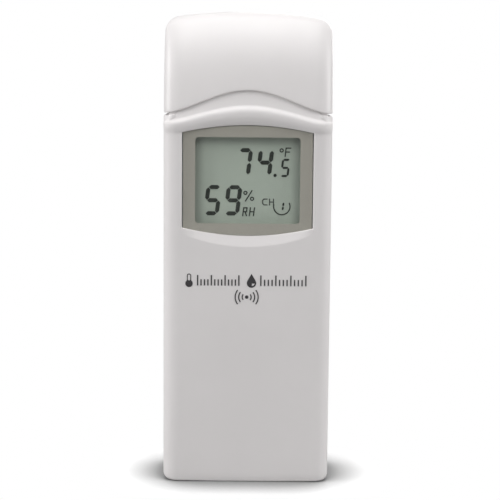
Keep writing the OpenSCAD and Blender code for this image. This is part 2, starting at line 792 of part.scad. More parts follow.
module end_plate(x, z, dimple_z) {
    block([x - 5.2, x + 5.2], [plate_y0, plate_y1], [z, z + plate_t]);
    if (dimple_z != 0)
        translate([x, cell_y, dimple_z > 0 ? z + plate_t : z - dimple_h]) cylinder(r = 2, h = dimple_h);
}

module contact_bridge() color("silver") {
    end_plate(-cell_x, bay_z0, 0);
    end_plate(cell_x, bay_z0, 1);
    block([-cell_x, cell_x], [plate_y0, plate_y0 + 5], [bay_z0, bay_z0 + plate_t]);
}

module top_contact(s, dimple_z) {
    end_plate(s * cell_x, bay_z1 - plate_t, dimple_z);
    block([s * tab_x - tab_w / 2, s * tab_x + tab_w / 2], [cell_y - 1.5, cell_y - 1.1],
        [bay_z1 - plate_t, bay_z1 + tab_rise]);
}

module contact_positive() color("silver") top_contact(-1, -1);
module contact_negative() color("silver") top_contact(1, 0);

module cell_spring() {
    steps = 16 * spring_turns;
    rise = spring_h - 2 * spring_wire;
    wide_r = 3.7;
    narrow_r = 2.5;
    wire([for (i = [0:steps]) let (
            a = 360 * spring_turns * i / steps,
            r = wide_r + (narrow_r - wide_r) * i / steps
        ) [r * cos(a), r * sin(a), spring_wire + rise * i / steps]], spring_wire, [0, 0, 1]);
}

module spring_left() color("silver") translate([-cell_x, cell_y, bay_z0 + plate_t]) cell_spring();
module spring_right() color("silver")
    translate([cell_x, cell_y, bay_z1 - plate_t]) rotate([180, 0, 0]) cell_spring();

// A lead from a contact's tab to the board, on one side of the case
lead_r = 0.6;
lead_route = [
    [11.5, 1, 65.4], [11.5, 1, 66.2], [11.5, 1.1, 67.2], [11.7, 1.5, 68.2], [12.1, 1.9, 69.2],
    [12.6, 2, 70.2], [13.1, 1.7, 71.1], [13.5, 1.1, 71.7], [13.7, 0.3, 72.1], [13.8, -0.6, 72.2],
    [13.8, -1.4, 72.2], [13.8, board_back, 72.2]
];
module lead(s) wire([for (p = lead_route) [s * p[0], p[1], p[2]]], lead_r, [s, 0.02, 0]);

module lead_positive() color("red") lead(-1);
module lead_negative() color("black") lead(1);

// ---- battery door ----

module battery_door() color("gainsboro") difference() {
    union() {
        face_on(door_in_y, back_y) rrect(-door_half, door_foot, door_half, door_top, door_r);
        block([-door_half - tongue_w, door_half + tongue_w], [door_in_y, door_in_y + tongue_t],
            [door_foot + 1, door_top - 1]);
        block([-catch_half, catch_half], [door_in_y, door_in_y + tongue_t],
            [door_top - past, door_top + catch_h]);
    }
    difference() {
        face_on(back_y - grip_depth, back_y + past)
            rrect(-grip_half, grip_z - grip_rise, grip_half, grip_z + grip_rise, 2);
        for (i = [0:grip_bars - 1])
            translate([0, 0, grip_z + bar_pitch * (i - (grip_bars - 1) / 2)])
                block([-grip_half + 1, grip_half - 1], [0, back_y - gap], [-bar_h / 2, bar_h / 2]);
    }
    face_on(back_y - arrow_depth, back_y + past)
        polygon([[-arrow_half, arrow_z + 2], [arrow_half, arrow_z + 2], [0, arrow_z - 2]]);
}

module door_gasket() color("dimgray") face_on(seat_y - gasket_h, seat_y + gap / 2) gasket_path(gasket_w);

// ---- screws ----

module case_screws() color("silver") for (x = [-boss_x, boss_x])
    screw_y(x, high_boss_z, screw_seat_y, inner_y + 0.7);

module board_screws() color("silver") for (x = [-boss_x, boss_x])
    screw_y(x, low_boss_z, board_back, inner_y + 1.2, 1, 1.5);

module hood_screws() color("silver") for (x = [-hood_screw_x, hood_screw_x])
    screw_y(x, hood_screw_z, back_y - 1.2, neck_back - 4.2, 1);

front_cover();
rear_housing();
hood();
display_window();
window_mask();
front_icons();
lcd_panel();
lcd_segments();
lcd_frame();
zebra_strips();
main_board();
controller_chip();
clock_crystal();
smoothing_capacitor();
chip_parts();
radio_board();
radio_resonator();
radio_pins();
antenna_coil();
humidity_sensor();
thermistor();
dip_switch_body();
dip_slider(0);  // dip_slider_1
dip_slider(1);  // dip_slider_2
dip_slider(2);  // dip_slider_3
dip_slider(3);  // dip_slider_4
color("silver") left_cell() cell_can();  // battery_left
color("darkorange") left_cell() cell_sleeve();  // battery_left_sleeve
color("silver") right_cell() cell_can();  // battery_right
color("darkorange") right_cell() cell_sleeve();  // battery_right_sleeve
contact_bridge();
contact_positive();
contact_negative();
spring_left();
spring_right();
lead_positive();
lead_negative();
battery_door();
door_gasket();
case_screws();
board_screws();
hood_screws();
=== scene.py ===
"""Wireless temperature and humidity sensor: looks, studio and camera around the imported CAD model.

Lengths are in millimetres until a mesh, a modifier, a light or the camera is made, and angles in degrees
where a name says so. The sensor stands on Z = 0 and faces -Y.
"""
import math

import bpy
import numpy as np
from mathutils import Matrix, Vector


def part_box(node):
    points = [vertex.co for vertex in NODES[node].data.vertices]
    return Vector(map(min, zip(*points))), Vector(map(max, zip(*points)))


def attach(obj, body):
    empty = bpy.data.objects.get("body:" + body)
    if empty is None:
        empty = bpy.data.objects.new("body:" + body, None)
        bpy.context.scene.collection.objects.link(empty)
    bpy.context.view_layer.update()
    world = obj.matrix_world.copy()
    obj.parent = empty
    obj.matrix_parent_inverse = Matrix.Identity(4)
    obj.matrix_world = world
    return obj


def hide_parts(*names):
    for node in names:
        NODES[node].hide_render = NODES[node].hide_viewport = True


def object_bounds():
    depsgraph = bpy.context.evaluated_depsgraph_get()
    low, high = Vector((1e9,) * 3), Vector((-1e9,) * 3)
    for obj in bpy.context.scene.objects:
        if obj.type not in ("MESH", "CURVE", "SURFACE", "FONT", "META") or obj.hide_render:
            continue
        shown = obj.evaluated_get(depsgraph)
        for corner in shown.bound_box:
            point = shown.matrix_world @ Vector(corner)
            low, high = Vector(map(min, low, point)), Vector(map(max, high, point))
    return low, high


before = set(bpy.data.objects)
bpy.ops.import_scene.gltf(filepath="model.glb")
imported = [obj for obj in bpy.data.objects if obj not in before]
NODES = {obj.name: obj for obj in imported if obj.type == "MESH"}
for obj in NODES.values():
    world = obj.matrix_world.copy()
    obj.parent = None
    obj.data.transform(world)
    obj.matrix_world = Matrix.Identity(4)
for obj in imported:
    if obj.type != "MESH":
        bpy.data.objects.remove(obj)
cad_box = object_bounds()
SCENE = bpy.context.scene
CASE = "sensor_case"
DOOR = "battery_door"
MM = 0.001


def node_box(name):
    """Lowest and highest corner of a CAD node at rest."""
    lo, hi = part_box(name)
    return lo / MM, hi / MM


def smooth(a, b, v):
    """Rises smoothly from 0 to 1 as v goes from a to b."""
    t = min(max((v - a) / (b - a), 0.0), 1.0)
    return t * t * (3 - 2 * t)


def spread(a, b, n):
    """n + 1 evenly spaced values from a to b."""
    return [a + (b - a) * i / n for i in range(n + 1)]


def arc(cx, cy, r, start, end, n):
    """n + 1 points along a circle's arc, between two angles in degrees."""
    angles = [math.radians(a) for a in spread(start, end, n)]
    return [(cx + r * math.cos(a), cy + r * math.sin(a)) for a in angles]


def fillet(e, r):
    """Inward step of a rounded edge of radius r, at the distance e from the edge."""
    if e >= r:
        return 0.0
    e = max(e, 0.0)
    return r - math.sqrt(max(r * r - (r - e) ** 2, 0.0))


# ---------- materials


class Graph:
    """A node tree, with short ways to add and link its nodes."""

    def __init__(self, tree):
        self.tree = tree
        tree.nodes.clear()

    def link(self, a, b):
        self.tree.links.new(a, b)

    def put(self, socket, value):
        if isinstance(value, bpy.types.NodeSocket):
            self.link(value, socket)
        else:
            socket.default_value = value

    def add(self, kind, *inputs, **props):
        n = self.tree.nodes.new(kind)
        for key, value in props.items():
            setattr(n, key, value)
        for socket, value in zip(n.inputs, inputs):
            self.put(socket, value)
        return n

    def fill(self, node, **values):
        """Links or sets a node's inputs by name, with _ for a space."""
        for key, value in values.items():
            self.put(node.inputs[key.replace("_", " ")], value)
        return node

    def maths(self, operation, a, b=0.0):
        return self.add("ShaderNodeMath", a, b, operation=operation).outputs[0]

    def shader(self, kind, *inputs):
        return self.add("ShaderNode" + kind, *inputs).outputs[0]


class Shader(Graph):
    """One material's nodes. Object coordinates come in millimetres."""

    def __init__(self, name):
        self.mat = bpy.data.materials.new(name)
        self.mat.use_nodes = True
        super().__init__(self.mat.node_tree)
        self.out = self.add("ShaderNodeOutputMaterial")
        coords = self.add("ShaderNodeTexCoord")
        scale = self.add("ShaderNodeVectorMath", coords.outputs["Object"], operation="SCALE")
        scale.inputs["Scale"].default_value = 1 / MM
        self.at = scale.outputs[0]

    def noise(self, size, detail=2.0, rough=0.5, stretch=(1, 1, 1), seed=0.0):
        """Noise with features about size across, longer along an axis with a small stretch."""
        m = self.fill(self.add("ShaderNodeMapping", self.at), Scale=[s / size for s in stretch],
                      Location=(seed, seed * 1.7, seed * 0.6))
        n = self.add("ShaderNodeTexNoise", m.outputs[0])
        return self.fill(n, Scale=1.0, Detail=detail, Roughness=rough).outputs["Fac"]

    def ramp(self, value, low, high, to_low, to_high, smoothly=False):
        """Maps low..high to to_low..to_high, and stays there outside them."""
        kind = "SMOOTHSTEP" if smoothly else "LINEAR"
        n = self.add("ShaderNodeMapRange", value, low, high, to_low, to_high, interpolation_type=kind)
        return n.outputs[0]

    def mix(self, share, a, b):
        n = self.add("ShaderNodeMix", data_type="RGBA")
        self.put(n.inputs["Factor"], share)
        for socket, v in ((n.inputs[6], a), (n.inputs[7], b)):
            self.put(socket, v if isinstance(v, bpy.types.NodeSocket) else (*v, 1.0))
        return n.outputs[2]

    def axis(self, name):
        return self.add("ShaderNodeSeparateXYZ", self.at).outputs[name]

    def bump(self, height, depth, below=None):
        """A normal bumped by height times depth, on top of the bump below."""
        n = self.fill(self.add("ShaderNodeBump"), Strength=1.0, Distance=depth * MM, Height=height)
        if below is not None:
            self.link(below, n.inputs["Normal"])
        return n.outputs["Normal"]

    def surface(self, shader):
        self.link(shader, self.out.inputs["Surface"])

    def principled(self, colour, rough, normal, metallic=0.0):
        n = self.add("ShaderNodeBsdfPrincipled")
        self.fill(n, Base_Color=colour, Roughness=rough, Normal=normal, Metallic=metallic)
        self.surface(n.outputs[0])


def tinted(colour, by):
    return tuple(max(0.0, c * (1 + by)) for c in colour)


def plastic(name, colour, rough=0.42, grain=0.35, depth=0.006, tone=0.02):
    """Moulded plastic: a fine spark-eroded grain, slow waves, faint cloudiness, specks and worn gloss."""
    s = Shader(name)
    skin = s.ramp(s.noise(26, detail=3, rough=0.55), 0.3, 0.7, 0, 1)
    fine = s.noise(grain, detail=2, rough=0.6)
    base = s.mix(skin, tinted(colour, -tone), tinted(colour, tone))
    speck = s.ramp(s.noise(grain * 0.6, detail=1, seed=4), 0.25, 0.45, 0.03, 0, True)
    base = s.mix(speck, base, tinted(colour, -0.2))
    worn = s.ramp(s.noise(9, detail=4, rough=0.6, seed=9), 0.35, 0.7, rough - 0.03, rough + 0.05)
    wave = s.bump(s.noise(14, detail=1, seed=2), depth * 0.5)
    s.principled(base, worn, s.bump(fine, depth, wave))
    return s.mat


def metal(name, colour, rough=0.25):
    """Bright metal with brushed lines along Z and dull stains."""
    s = Shader(name)
    lines = s.noise(0.2, detail=3, stretch=(1, 1, 12))
    stain = s.noise(3, detail=4, rough=0.6, seed=3)
    base = s.mix(s.ramp(stain, 0.35, 0.75, 0, 1), colour, tinted(colour, -0.18))
    s.principled(base, s.ramp(stain, 0.3, 0.8, rough, rough + 0.12), s.bump(lines, 0.003), metallic=1.0)
    return s.mat


def rubber(name, colour, rough=0.75):
    s = Shader(name)
    fine = s.noise(0.3, detail=3)
    patches = s.ramp(s.noise(5, detail=3), 0.3, 0.7, 0, 1)
    base = s.mix(patches, tinted(colour, -0.12), tinted(colour, 0.12))
    s.principled(base, s.ramp(fine, 0.3, 0.7, rough - 0.08, rough + 0.08), s.bump(fine, 0.02))
    return s.mat


def ink(name, colour, rough=0.55, patchy=0.12):
    """Printed ink, a little uneven."""
    s = Shader(name)
    fine = s.noise(0.22, detail=3, rough=0.6)
    base = s.mix(s.ramp(fine, 0.35, 0.7, 0, 1), tinted(colour, -patchy), tinted(colour, patchy))
    s.principled(base, rough, s.bump(fine, 0.003))
    return s.mat


def clear_window(name):
    """Clear plastic with smudges: light goes straight through, and only its outer side shines."""
    s = Shader(name)
    see = s.shader("BsdfTransparent", (0.97, 0.975, 0.97, 1))
    smudge = s.ramp(s.noise(11, detail=4, rough=0.6), 0.35, 0.75, 0.05, 0.16)
    shine = s.fill(s.add("ShaderNodeBsdfGlossy"), Roughness=smudge)
    back = s.add("ShaderNodeNewGeometry").outputs["Backfacing"]
    share = s.maths("MULTIPLY", s.shader("Fresnel", 1.49), s.maths("SUBTRACT", 1.0, back))
    s.surface(s.shader("MixShader", share, see, shine.outputs[0]))
    return s.mat


def display_glass(name):
    """The display's grey-green glass, darker at its sides and top, in the shade of its recess."""
    s = Shader(name)
    fine = s.noise(0.12, detail=2, rough=0.6)
    soft = s.noise(9, detail=2)
    base = s.mix(s.ramp(soft, 0.3, 0.7, 0, 1), (0.54, 0.61, 0.535), (0.585, 0.65, 0.57))
    base = s.mix(s.ramp(fine, 0.3, 0.7, 0, 0.25), base, (0.41, 0.465, 0.405))
    sides = s.ramp(s.maths("ABSOLUTE", s.axis("X")), 10.4, 13.4, 1.0, 0.66, True)
    top = s.ramp(s.axis("Z"), 87.2, 89.6, 1.0, 0.58, True)
    base = s.mix(s.maths("MULTIPLY", sides, top), (0, 0, 0), base)
    s.principled(base, 0.35, s.bump(fine, 0.002))
    return s.mat


def board_laminate(name, mask, track):
    """A circuit board: tracks under a solder mask, and the weave of its glass."""
    s = Shader(name)
    turn = s.fill(s.add("ShaderNodeMapping", s.at), Rotation=(math.radians(90), 0, 0))
    black, white = (0, 0, 0, 1), (1, 1, 1, 1)
    brick = s.add("ShaderNodeTexBrick", turn.outputs[0], black, black, white, offset=0.35)
    s.fill(brick, Scale=0.55, Mortar_Size=0.06, Brick_Width=1.6, Row_Height=0.55)
    weave = s.noise(0.4, detail=2)
    base = s.mix(s.ramp(weave, 0.35, 0.65, 0, 1), mask, tinted(mask, 0.2))
    base = s.mix(brick.outputs["Color"], base, track)
    s.principled(base, 0.3, s.bump(brick.outputs["Fac"], 0.03))
    return s.mat


def cell_label(name, low, high, up):
    """A cell's shrink sleeve with a pale band at its positive end; low and high are its ends in Z."""
    s = Shader(name)
    along = s.maths("SUBTRACT", s.axis("Z"), low) if up else s.maths("SUBTRACT", high, s.axis("Z"))
    length = high - low
    band = s.ramp(along, length - 10.1, length - 9.95, 0, 1)
    line = s.maths("MULTIPLY", s.ramp(along, length - 12.3, length - 12.15, 0, 1),
                   s.ramp(along, length - 11.5, length - 11.35, 1, 0))
    soft = s.noise(12, detail=3)
    base = s.mix(s.ramp(soft, 0.3, 0.7, 0, 1), (0.018, 0.15, 0.17), (0.022, 0.175, 0.2))
    base = s.mix(s.maths("MAXIMUM", band, line), base, (0.66, 0.68, 0.67))
    fine = s.noise(0.5, detail=2)
    wrinkle = s.bump(s.noise(5, detail=2, stretch=(1, 1, 0.25), seed=5), 0.03)
    s.principled(base, s.ramp(soft, 0.3, 0.7, 0.2, 0.3), s.bump(fine, 0.003, wrinkle))
    return s.mat


WHITE = (0.80, 0.775, 0.772)
case_white = plastic("case_plastic", WHITE)
hood_white = plastic("hood_plastic", WHITE, rough=0.36)
rear_white = plastic("rear_plastic", WHITE, rough=0.46, grain=0.45, depth=0.012)
door_white = plastic("door_plastic", WHITE, rough=0.46, grain=0.45, depth=0.012)
window_clear = clear_window("window_clear")
mask_ink = ink("mask_ink", (0.41, 0.393, 0.345), rough=0.5, patchy=0.06)
icon_ink = ink("icon_ink", (0.045, 0.042, 0.045), rough=0.6)
segment_ink = ink("segment_ink", (0.016, 0.024, 0.017), rough=0.35)
frame_white = plastic("frame_plastic", (0.62, 0.62, 0.6), rough=0.5)
switch_red = plastic("switch_red", (0.42, 0.02, 0.018), rough=0.35)
slider_white = plastic("slider_white", (0.78, 0.78, 0.74), rough=0.35)
sensor_cream = plastic("sensor_plastic", (0.7, 0.66, 0.56), rough=0.5)
epoxy_black = plastic("epoxy_black", (0.012, 0.012, 0.013), rough=0.22, grain=1.2, depth=0.03)
zebra_grey = rubber("zebra_rubber", (0.09, 0.1, 0.11))
gasket_grey = rubber("gasket_rubber", (0.04, 0.04, 0.042))
tinned = metal("tinned_metal", (0.72, 0.72, 0.70), 0.28)
cell_steel = metal("cell_metal", (0.78, 0.77, 0.74), 0.2)
spring_steel = metal("spring_steel", (0.76, 0.75, 0.72), 0.22)
screw_steel = metal("screw_steel", (0.62, 0.62, 0.62), 0.3)
gold_pin = metal("gold_pin", (0.85, 0.62, 0.28), 0.25)
copper = metal("antenna_copper", (0.72, 0.33, 0.18), 0.25)
lead_red = plastic("lead_red", (0.5, 0.02, 0.02), rough=0.4)
lead_black = plastic("lead_black", (0.015, 0.015, 0.016), rough=0.4)
cap_blue = plastic("capacitor_sleeve", (0.02, 0.03, 0.09), rough=0.3)
ceramic = plastic("chip_ceramic", (0.45, 0.33, 0.2), rough=0.4)
lcd_glass = display_glass("lcd_glass")
laminate = board_laminate("board_laminate", (0.03, 0.16, 0.07), (0.07, 0.27, 0.12))
radio_laminate = board_laminate("radio_laminate", (0.02, 0.09, 0.05), (0.05, 0.17, 0.1))

# ---------- meshes


def shade(mesh, angle):
    """Smooth shading, but sharp at edges over the angle in degrees."""
    mesh.polygons.foreach_set("use_smooth", [True] * len(mesh.polygons))
    mesh.set_sharp_from_angle(angle=math.radians(angle))


def make_object(name, verts, faces):
    mesh = bpy.data.meshes.new(name)
    mesh.from_pydata([(x * MM, y * MM, z * MM) for x, y, z in verts], [], faces)
    obj = bpy.data.objects.new(name, mesh)
    SCENE.collection.objects.link(obj)
    return obj


def piece(name, verts, faces, mat, slot, body=CASE, angle=35, stands_for=()):
    obj = make_object(name, verts, faces)
    obj.data.validate()
    obj.data.materials.append(mat)
    shade(obj.data, angle)
    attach(obj, body)
    if stands_for:
        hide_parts(*stands_for)
    return obj


def weigh(obj):
    """Keeps small rounded edges from bending the shading of the wide flat faces beside them."""
    m = obj.modifiers.new("weighted", "WEIGHTED_NORMAL")
    m.keep_sharp = True
    m.weight = 60


def settle(obj, angle):
    shade(obj.data, angle)
    weigh(obj)


def cut(obj, *solids):
    """Takes the space of solids, each its verts and faces, out of a piece."""
    for verts, faces in solids:
        cutter = make_object("cutter", verts, faces)
        m = obj.modifiers.new("cut", "BOOLEAN")
        m.operation = "DIFFERENCE"
        m.solver = "EXACT"
        m.object = cutter
        bpy.context.view_layer.update()
        mesh = bpy.data.meshes.new_from_object(obj.evaluated_get(bpy.context.evaluated_depsgraph_get()))
        obj.modifiers.clear()
        old, obj.data = obj.data, mesh
        bpy.data.meshes.remove(old)
        bpy.data.objects.remove(cutter)


def thicken(verts, faces, inner):
    """Closes an open skin into a solid: its faces, the same on the inner points, and a wall at each rim."""
    n = len(verts)
    edges = dict.fromkeys((a, b) for f in faces for a, b in zip(f, f[1:] + f[:1]))
    walls = [(b, a, a + n, b + n) for a, b in edges if (b, a) not in edges]
    back = [tuple(i + n for i in reversed(f)) for f in faces]
    return list(verts) + list(inner), list(faces) + back + walls


def joined(*solids):
    verts, faces = [], []
    for v, f in solids:
        faces += [tuple(i + len(verts) for i in face) for face in f]
        verts += v
    return verts, faces


def lathe(profile, steps, closed=False):
    """A profile of (radius, height) turned about Z; its ends on the axis are closed by fans."""
    verts, rings = [], []
    for r, h in profile:
        count = steps if r > 1e-6 else 1
        rings.append(list(range(len(verts), len(verts) + count)))
        verts += [(x, y, h) for x, y in arc(0, 0, r, 0, 360, steps)[:count]]
    faces = []
    for a, b in zip(rings, rings[1:] + rings[:1] if closed else rings[1:]):
        for i in range(steps):
            j = (i + 1) % steps
            corners = (a[i % len(a)], a[j % len(a)], b[j % len(b)], b[i % len(b)])
            faces.append(tuple(dict.fromkeys(corners)))
    return verts, faces


def bands(count, n):
    """The faces between count rings of n points, each and the next."""
    return [(i + j, i + (j + 1) % n, i + n + (j + 1) % n, i + n + j)
            for i in range(0, (count - 1) * n, n) for j in range(n)]


def loft(levels):
    """A closed solid through outlines of one length: (outline in X and Z, y), from the front to the back."""
    n, count = len(levels[0][0]), len(levels)
    verts = [(x, y, z) for outline, y in levels for x, z in outline]
    faces = [tuple(range(n)), tuple(reversed(range((count - 1) * n, count * n)))]
    for i in range(0, (count - 1) * n, n):
        for j in range(n):
            k = (j + 1) % n
            faces.append((i + k, i + j, i + n + j, i + n + k))
    return verts, faces


def prism(outline, y0, y1):
    return loft([(outline, y0), (outline, y1)])


def round_rect(x0, z0, x1, z1, r, n=8):
    """A rectangle's outline with rounded corners, anticlockwise from its lower right corner."""
    return (arc(x1 - r, z0 + r, r, -90, 0, n) + arc(x1 - r, z1 - r, r, 0, 90, n)
            + arc(x0 + r, z1 - r, r, 90, 180, n) + arc(x0 + r, z0 + r, r, 180, 270, n))


def roundover(r, steps):
    """Inset and rise of a quarter round of radius r, from its foot to its side."""
    turns = [math.radians(a) for a in spread(0, 90, steps)]
    return [(r * (1 - math.sin(a)), r * (1 - math.cos(a))) for a in turns]


def slab(x0, z0, x1, z1, r, y0, y1, front=0.0, back=0.0, turn=6, n=6):
    """A flat slab with rounded corners, and front and back edges rounded by the radii front and back."""
    levels = [(e, y0 + h) for e, h in roundover(front, turn)] if front else [(0, y0)]
    levels += [(e, y1 - h) for e, h in reversed(roundover(back, turn))] if back else [(0, y1)]
    return loft([(round_rect(x0 + e, z0 + e, x1 - e, z1 - e, max(r - e, 0.02), n), y) for e, y in levels])


def pocket(outline, floor_y, mouth_y, flare=0.22, floor_r=0.25):
    """A cutter for a pocket with a rounded floor and an eased mouth; outline(e) is its outline, grown by e."""
    levels = [(outline(-e), floor_y + h) for e, h in roundover(floor_r, 5)]
    levels += [(outline(h), mouth_y - e) for e, h in roundover(flare, 5)]
    return loft(levels + [(outline(flare + 0.3), mouth_y + 0.3)])


def plate_with_hole(outer, hole, y0, y1):
    """A plate from y0 to y1 between two outlines of one length, its edge and its hole."""
    n = len(outer)
    verts = [(x, y, z) for y in (y0, y1) for outline in (outer, hole) for x, z in outline]
    faces = []
    for i in range(n):
        j = (i + 1) % n
        faces.append((i, j, n + j, n + i))
        faces.append((2 * n + i, 3 * n + i, 3 * n + j, 2 * n + j))
        faces.append((i, 2 * n + i, 2 * n + j, j))
        faces.append((n + i, n + j, 3 * n + j, 3 * n + i))
    return verts, faces


def tube(path, r, sides):
    """A round wire along a smooth path, with rounded ends."""
    pts = [Vector(p) for p in path]
    tangents = [(b - a).normalized() for a, b in zip(pts[:1] + pts, pts[1:] + pts[-1:])]
    around = [2 * math.pi * k / sides for k in range(sides)]
    side = tangents[0].orthogonal().normalized()
    rings = []
    for p, t in zip(pts, tangents):
        side = (side - t * side.dot(t)).normalized()
        up = t.cross(side)
        rings.append([p + r * (math.cos(a) * side + math.sin(a) * up) for a in around])
    for at, out in ((0, -1), (-1, 1)):
        centre, ring = pts[at], rings[at]
        caps = [[centre + (q - centre) * math.cos(a) + tangents[at] * out * r * 0.7 * math.sin(a) for q in ring]
                for a in (0.5, 1.0, 1.35)]
        rings = caps[::-1] + rings if at == 0 else rings + caps
    verts = [tuple(q) for ring in rings for q in ring]
    ends = [tuple(reversed(range(sides))), tuple(range(len(verts) - sides, len(verts)))]
    return verts, ends + bands(len(rings), sides)


def eased(points, steps=6):
    """More points on a smooth curve through the given ones."""
    p = [Vector(q) for q in points]
    p = [p[0] * 2 - p[1]] + p + [p[-1] * 2 - p[-2]]
    out = []
    for a, b, c, d in zip(p, p[1:], p[2:], p[3:]):
        for k in range(steps):
            t = k / steps
            out.append(((b * 2) + (c - a) * t + (a * 2 - b * 5 + c * 4 - d) * t ** 2
                        + (b * 3 - a - c * 3 + d) * t ** 3) * 0.5)
    return out + [p[-2]]


def vertex_normals(verts, faces):
    v = np.array(verts)
    normals = np.zeros_like(v)
    for f in faces:
        p = v[list(f)]
        normals[list(f)] += np.cross(p[2] - p[0], p[3] - p[1])
    size = np.linalg.norm(normals, axis=1)
    size[size == 0] = 1
    return normals / size[:, None]


# ---------- curves of the case

cad_lo, cad_hi = [Vector(v) / MM for v in cad_box]
HALF_W = cad_hi.x
CASE_H = cad_hi.z
BACK_Y = cad_hi.y
RIDGE_Y = cad_lo.y
RIDGE_PROUD = 0.4  # height of the ridge over the face
FACE_Y = RIDGE_Y + RIDGE_PROUD
PARTING_Y = -1.5  # where the case's two halves meet
WALL = 1.8
EASE = 0.25  # radius of the eased edges at the parting line and round the window
EASE_STEPS = [0.25, 0.2, 0.14, 0.09, 0.05, 0.02, 0.0]
EDGE_X, EDGE_Y, EDGE_POWER = 4.4, 3.2, 2.25  # the rounded edges down both sides of the front

WIN_HALF = 16.7
WIN_TOP, WIN_BOTTOM = 92.85, 64.75  # of the window's recess, at the middle
WIN_MID = (WIN_TOP + WIN_BOTTOM) / 2
WIN_R = 74.3
SCOOP_LOW, SCOOP_R, SCOOP_DEPTH = 61.9, 44.0, 0.93
SCOOP_REACH = WIN_BOTTOM - SCOOP_LOW

FOOT_TOP = 2.6  # over the rounded foot
BAND = 0.5  # height over the ridge in which its upper side turns to lie back
APEX = 0.43  # share of the way from the ridge to the window in which its lower side curves back
RIDGE_TOP = 0.3  # height over the ridge where the brow's rows begin
CORNER_X = 18.2  # beyond it the shoulder shows beside the hood
RIM_Z = node_box("hood")[0].z


def arch(x):
    """Height of the arch that the ridge, shoulder and rim share: 1 at the middle and 0 at the sides."""
    return ((1 + math.cos(math.pi * min(abs(x) / HALF_W, 1))) / 2) ** 0.85


def rim_at(x):
    return RIM_Z + 5.8 * arch(x)


def shoulder_at(x):
    return RIM_Z - 0.8 + 6.1 * arch(x)


def ridge_at(x):
    return RIM_Z - 1.9 + 3.6 * arch(x) - 0.25 * smooth(11, 18, abs(x))


def sag(x, r):
    x = min(abs(x), WIN_HALF)
    return r - math.sqrt(r * r - x * x)


def window_top(x):
    return WIN_TOP - sag(x, WIN_R)


def window_bottom(x):
    return WIN_BOTTOM + sag(x, WIN_R)


def scoop_at(x):
    return SCOOP_LOW + sag(x, SCOOP_R)


def rounded_corner(rx, ry, power, a):
    """Insets in x and y and outward normal on a corner of a superellipse, at the angle a in degrees."""
    c, s = math.cos(math.radians(a)), math.sin(math.radians(a))
    nx, ny = c ** (2 - 2 / power) / rx, s ** (2 - 2 / power) / ry
    size = math.hypot(nx, ny)
    return rx * (1 - c ** (2 / power)), ry * (1 - s ** (2 / power)), nx / size, ny / size


# ---------- front half of the case


def front_columns():
    """The plain section, from the left parting line round the front to the right: x, y and outward normal."""
    near_seam = (0, 0.015, 0.05, 0.1, 0.17, 0.25, 0.7, 1.5, 2.5, 3.5, 4.5)
    cols = [(-HALF_W, PARTING_Y - e, -1.0, 0.0) for e in near_seam]
    for a in (0, 7, 14, 21, 28, 35, 39, 43, 47, 50.5, 54, 57, 60, 63, 66, 69, 72, 74.5, 77, 79, 81, 84, 87):
        dx, dy, nx, ny = rounded_corner(EDGE_X, EDGE_Y, EDGE_POWER, a)
        cols.append((-HALF_W + dx, FACE_Y + dy, -nx, -ny))
    xs = [-17.1, -17.0] + [-WIN_HALF - e for e in EASE_STEPS] + [-WIN_HALF + 0.12, -16.3]
    cols += [(x, FACE_Y, 0.0, -1.0) for x in xs + spread(-15.8, 0, 18)]
    return cols + [(-x, y, -nx, ny) for x, y, nx, ny in reversed(cols) if abs(x) > 1e-6]


def crest_relief(x, z, ny):
    """How far the face lies behind its plain section near the ridge; negative is proud. Above the ridge the
    brow turns to lie back, and beyond CORNER_X it closes into a small ledge. Below it the face curves back to
    the dished part over the window."""
    h = z - ridge_at(x)
    front = abs(ny)
    steep = 1.2 + 0.2 * smooth(10, 18, abs(x))
    reach = ridge_at(x) - window_top(x)
    apex = APEX * reach
    proud = -RIDGE_PROUD * front
    late = 0.8 * (1 - smooth(0.3, 1.0, h))
    closing = smooth(CORNER_X + late, 19.4 + late, abs(x))
    e = h + 0.35 * apex
    e = (e + math.hypot(e, 0.15)) / 2
    ledge = smooth(0.02, 0.6, front) * (0.35 * (1 - math.exp(-e / 0.4)) + 0.12 * e) * closing
    if h > 0:
        t = min(h, BAND)
        lie = 0.22 + 0.1 * smooth(8, 16, abs(x))
        brow = steep * (apex / 3 + t) - (steep - lie) * t * t / (2 * BAND) + lie * max(h - BAND, 0)
        brow += 0.35 * smooth(-0.3, 1.0, z - rim_at(x))
        return (proud + brow) * (1 - closing) + ledge
    if h > -apex:
        return proud + steep * (h + apex) ** 3 / (3 * apex ** 2) * (1 - closing) + ledge
    share = min((-apex - h) / (reach - apex), 1.0) ** 2
    weight = ((1 + math.cos(math.pi * min(abs(x) / 18.5, 1))) / 2) ** 0.5
    return proud * (1 - share) + 0.72 * weight * share * (1 - smooth(reach, reach + 5, -h))


def scoop_relief(x, z):
    """Depth of the scoop under the window, deepest at the window's edge."""
    top = window_bottom(x)
    h = (min(z, top) - scoop_at(x)) / SCOOP_REACH
    rise = (h + math.hypot(h, 0.05)) / 2
    if z > top + 3 or rise <= 0.013:
        return 0.0
    return SCOOP_DEPTH * rise * (1 - smooth(12.5, 17.3, abs(x))) * (1 - smooth(top, top + 3, z))


def window_edge(x, z):
    dx = max(abs(x) - WIN_HALF, 0.0)
    dz = max(z - window_top(x), window_bottom(x) - z, 0.0)
    return fillet(math.hypot(dx, dz), EASE)


def seam(y, nx):
    """Inset of the eased edge along the parting line."""
    return fillet(PARTING_Y - y, EASE) if abs(nx) == 1 else 0.0


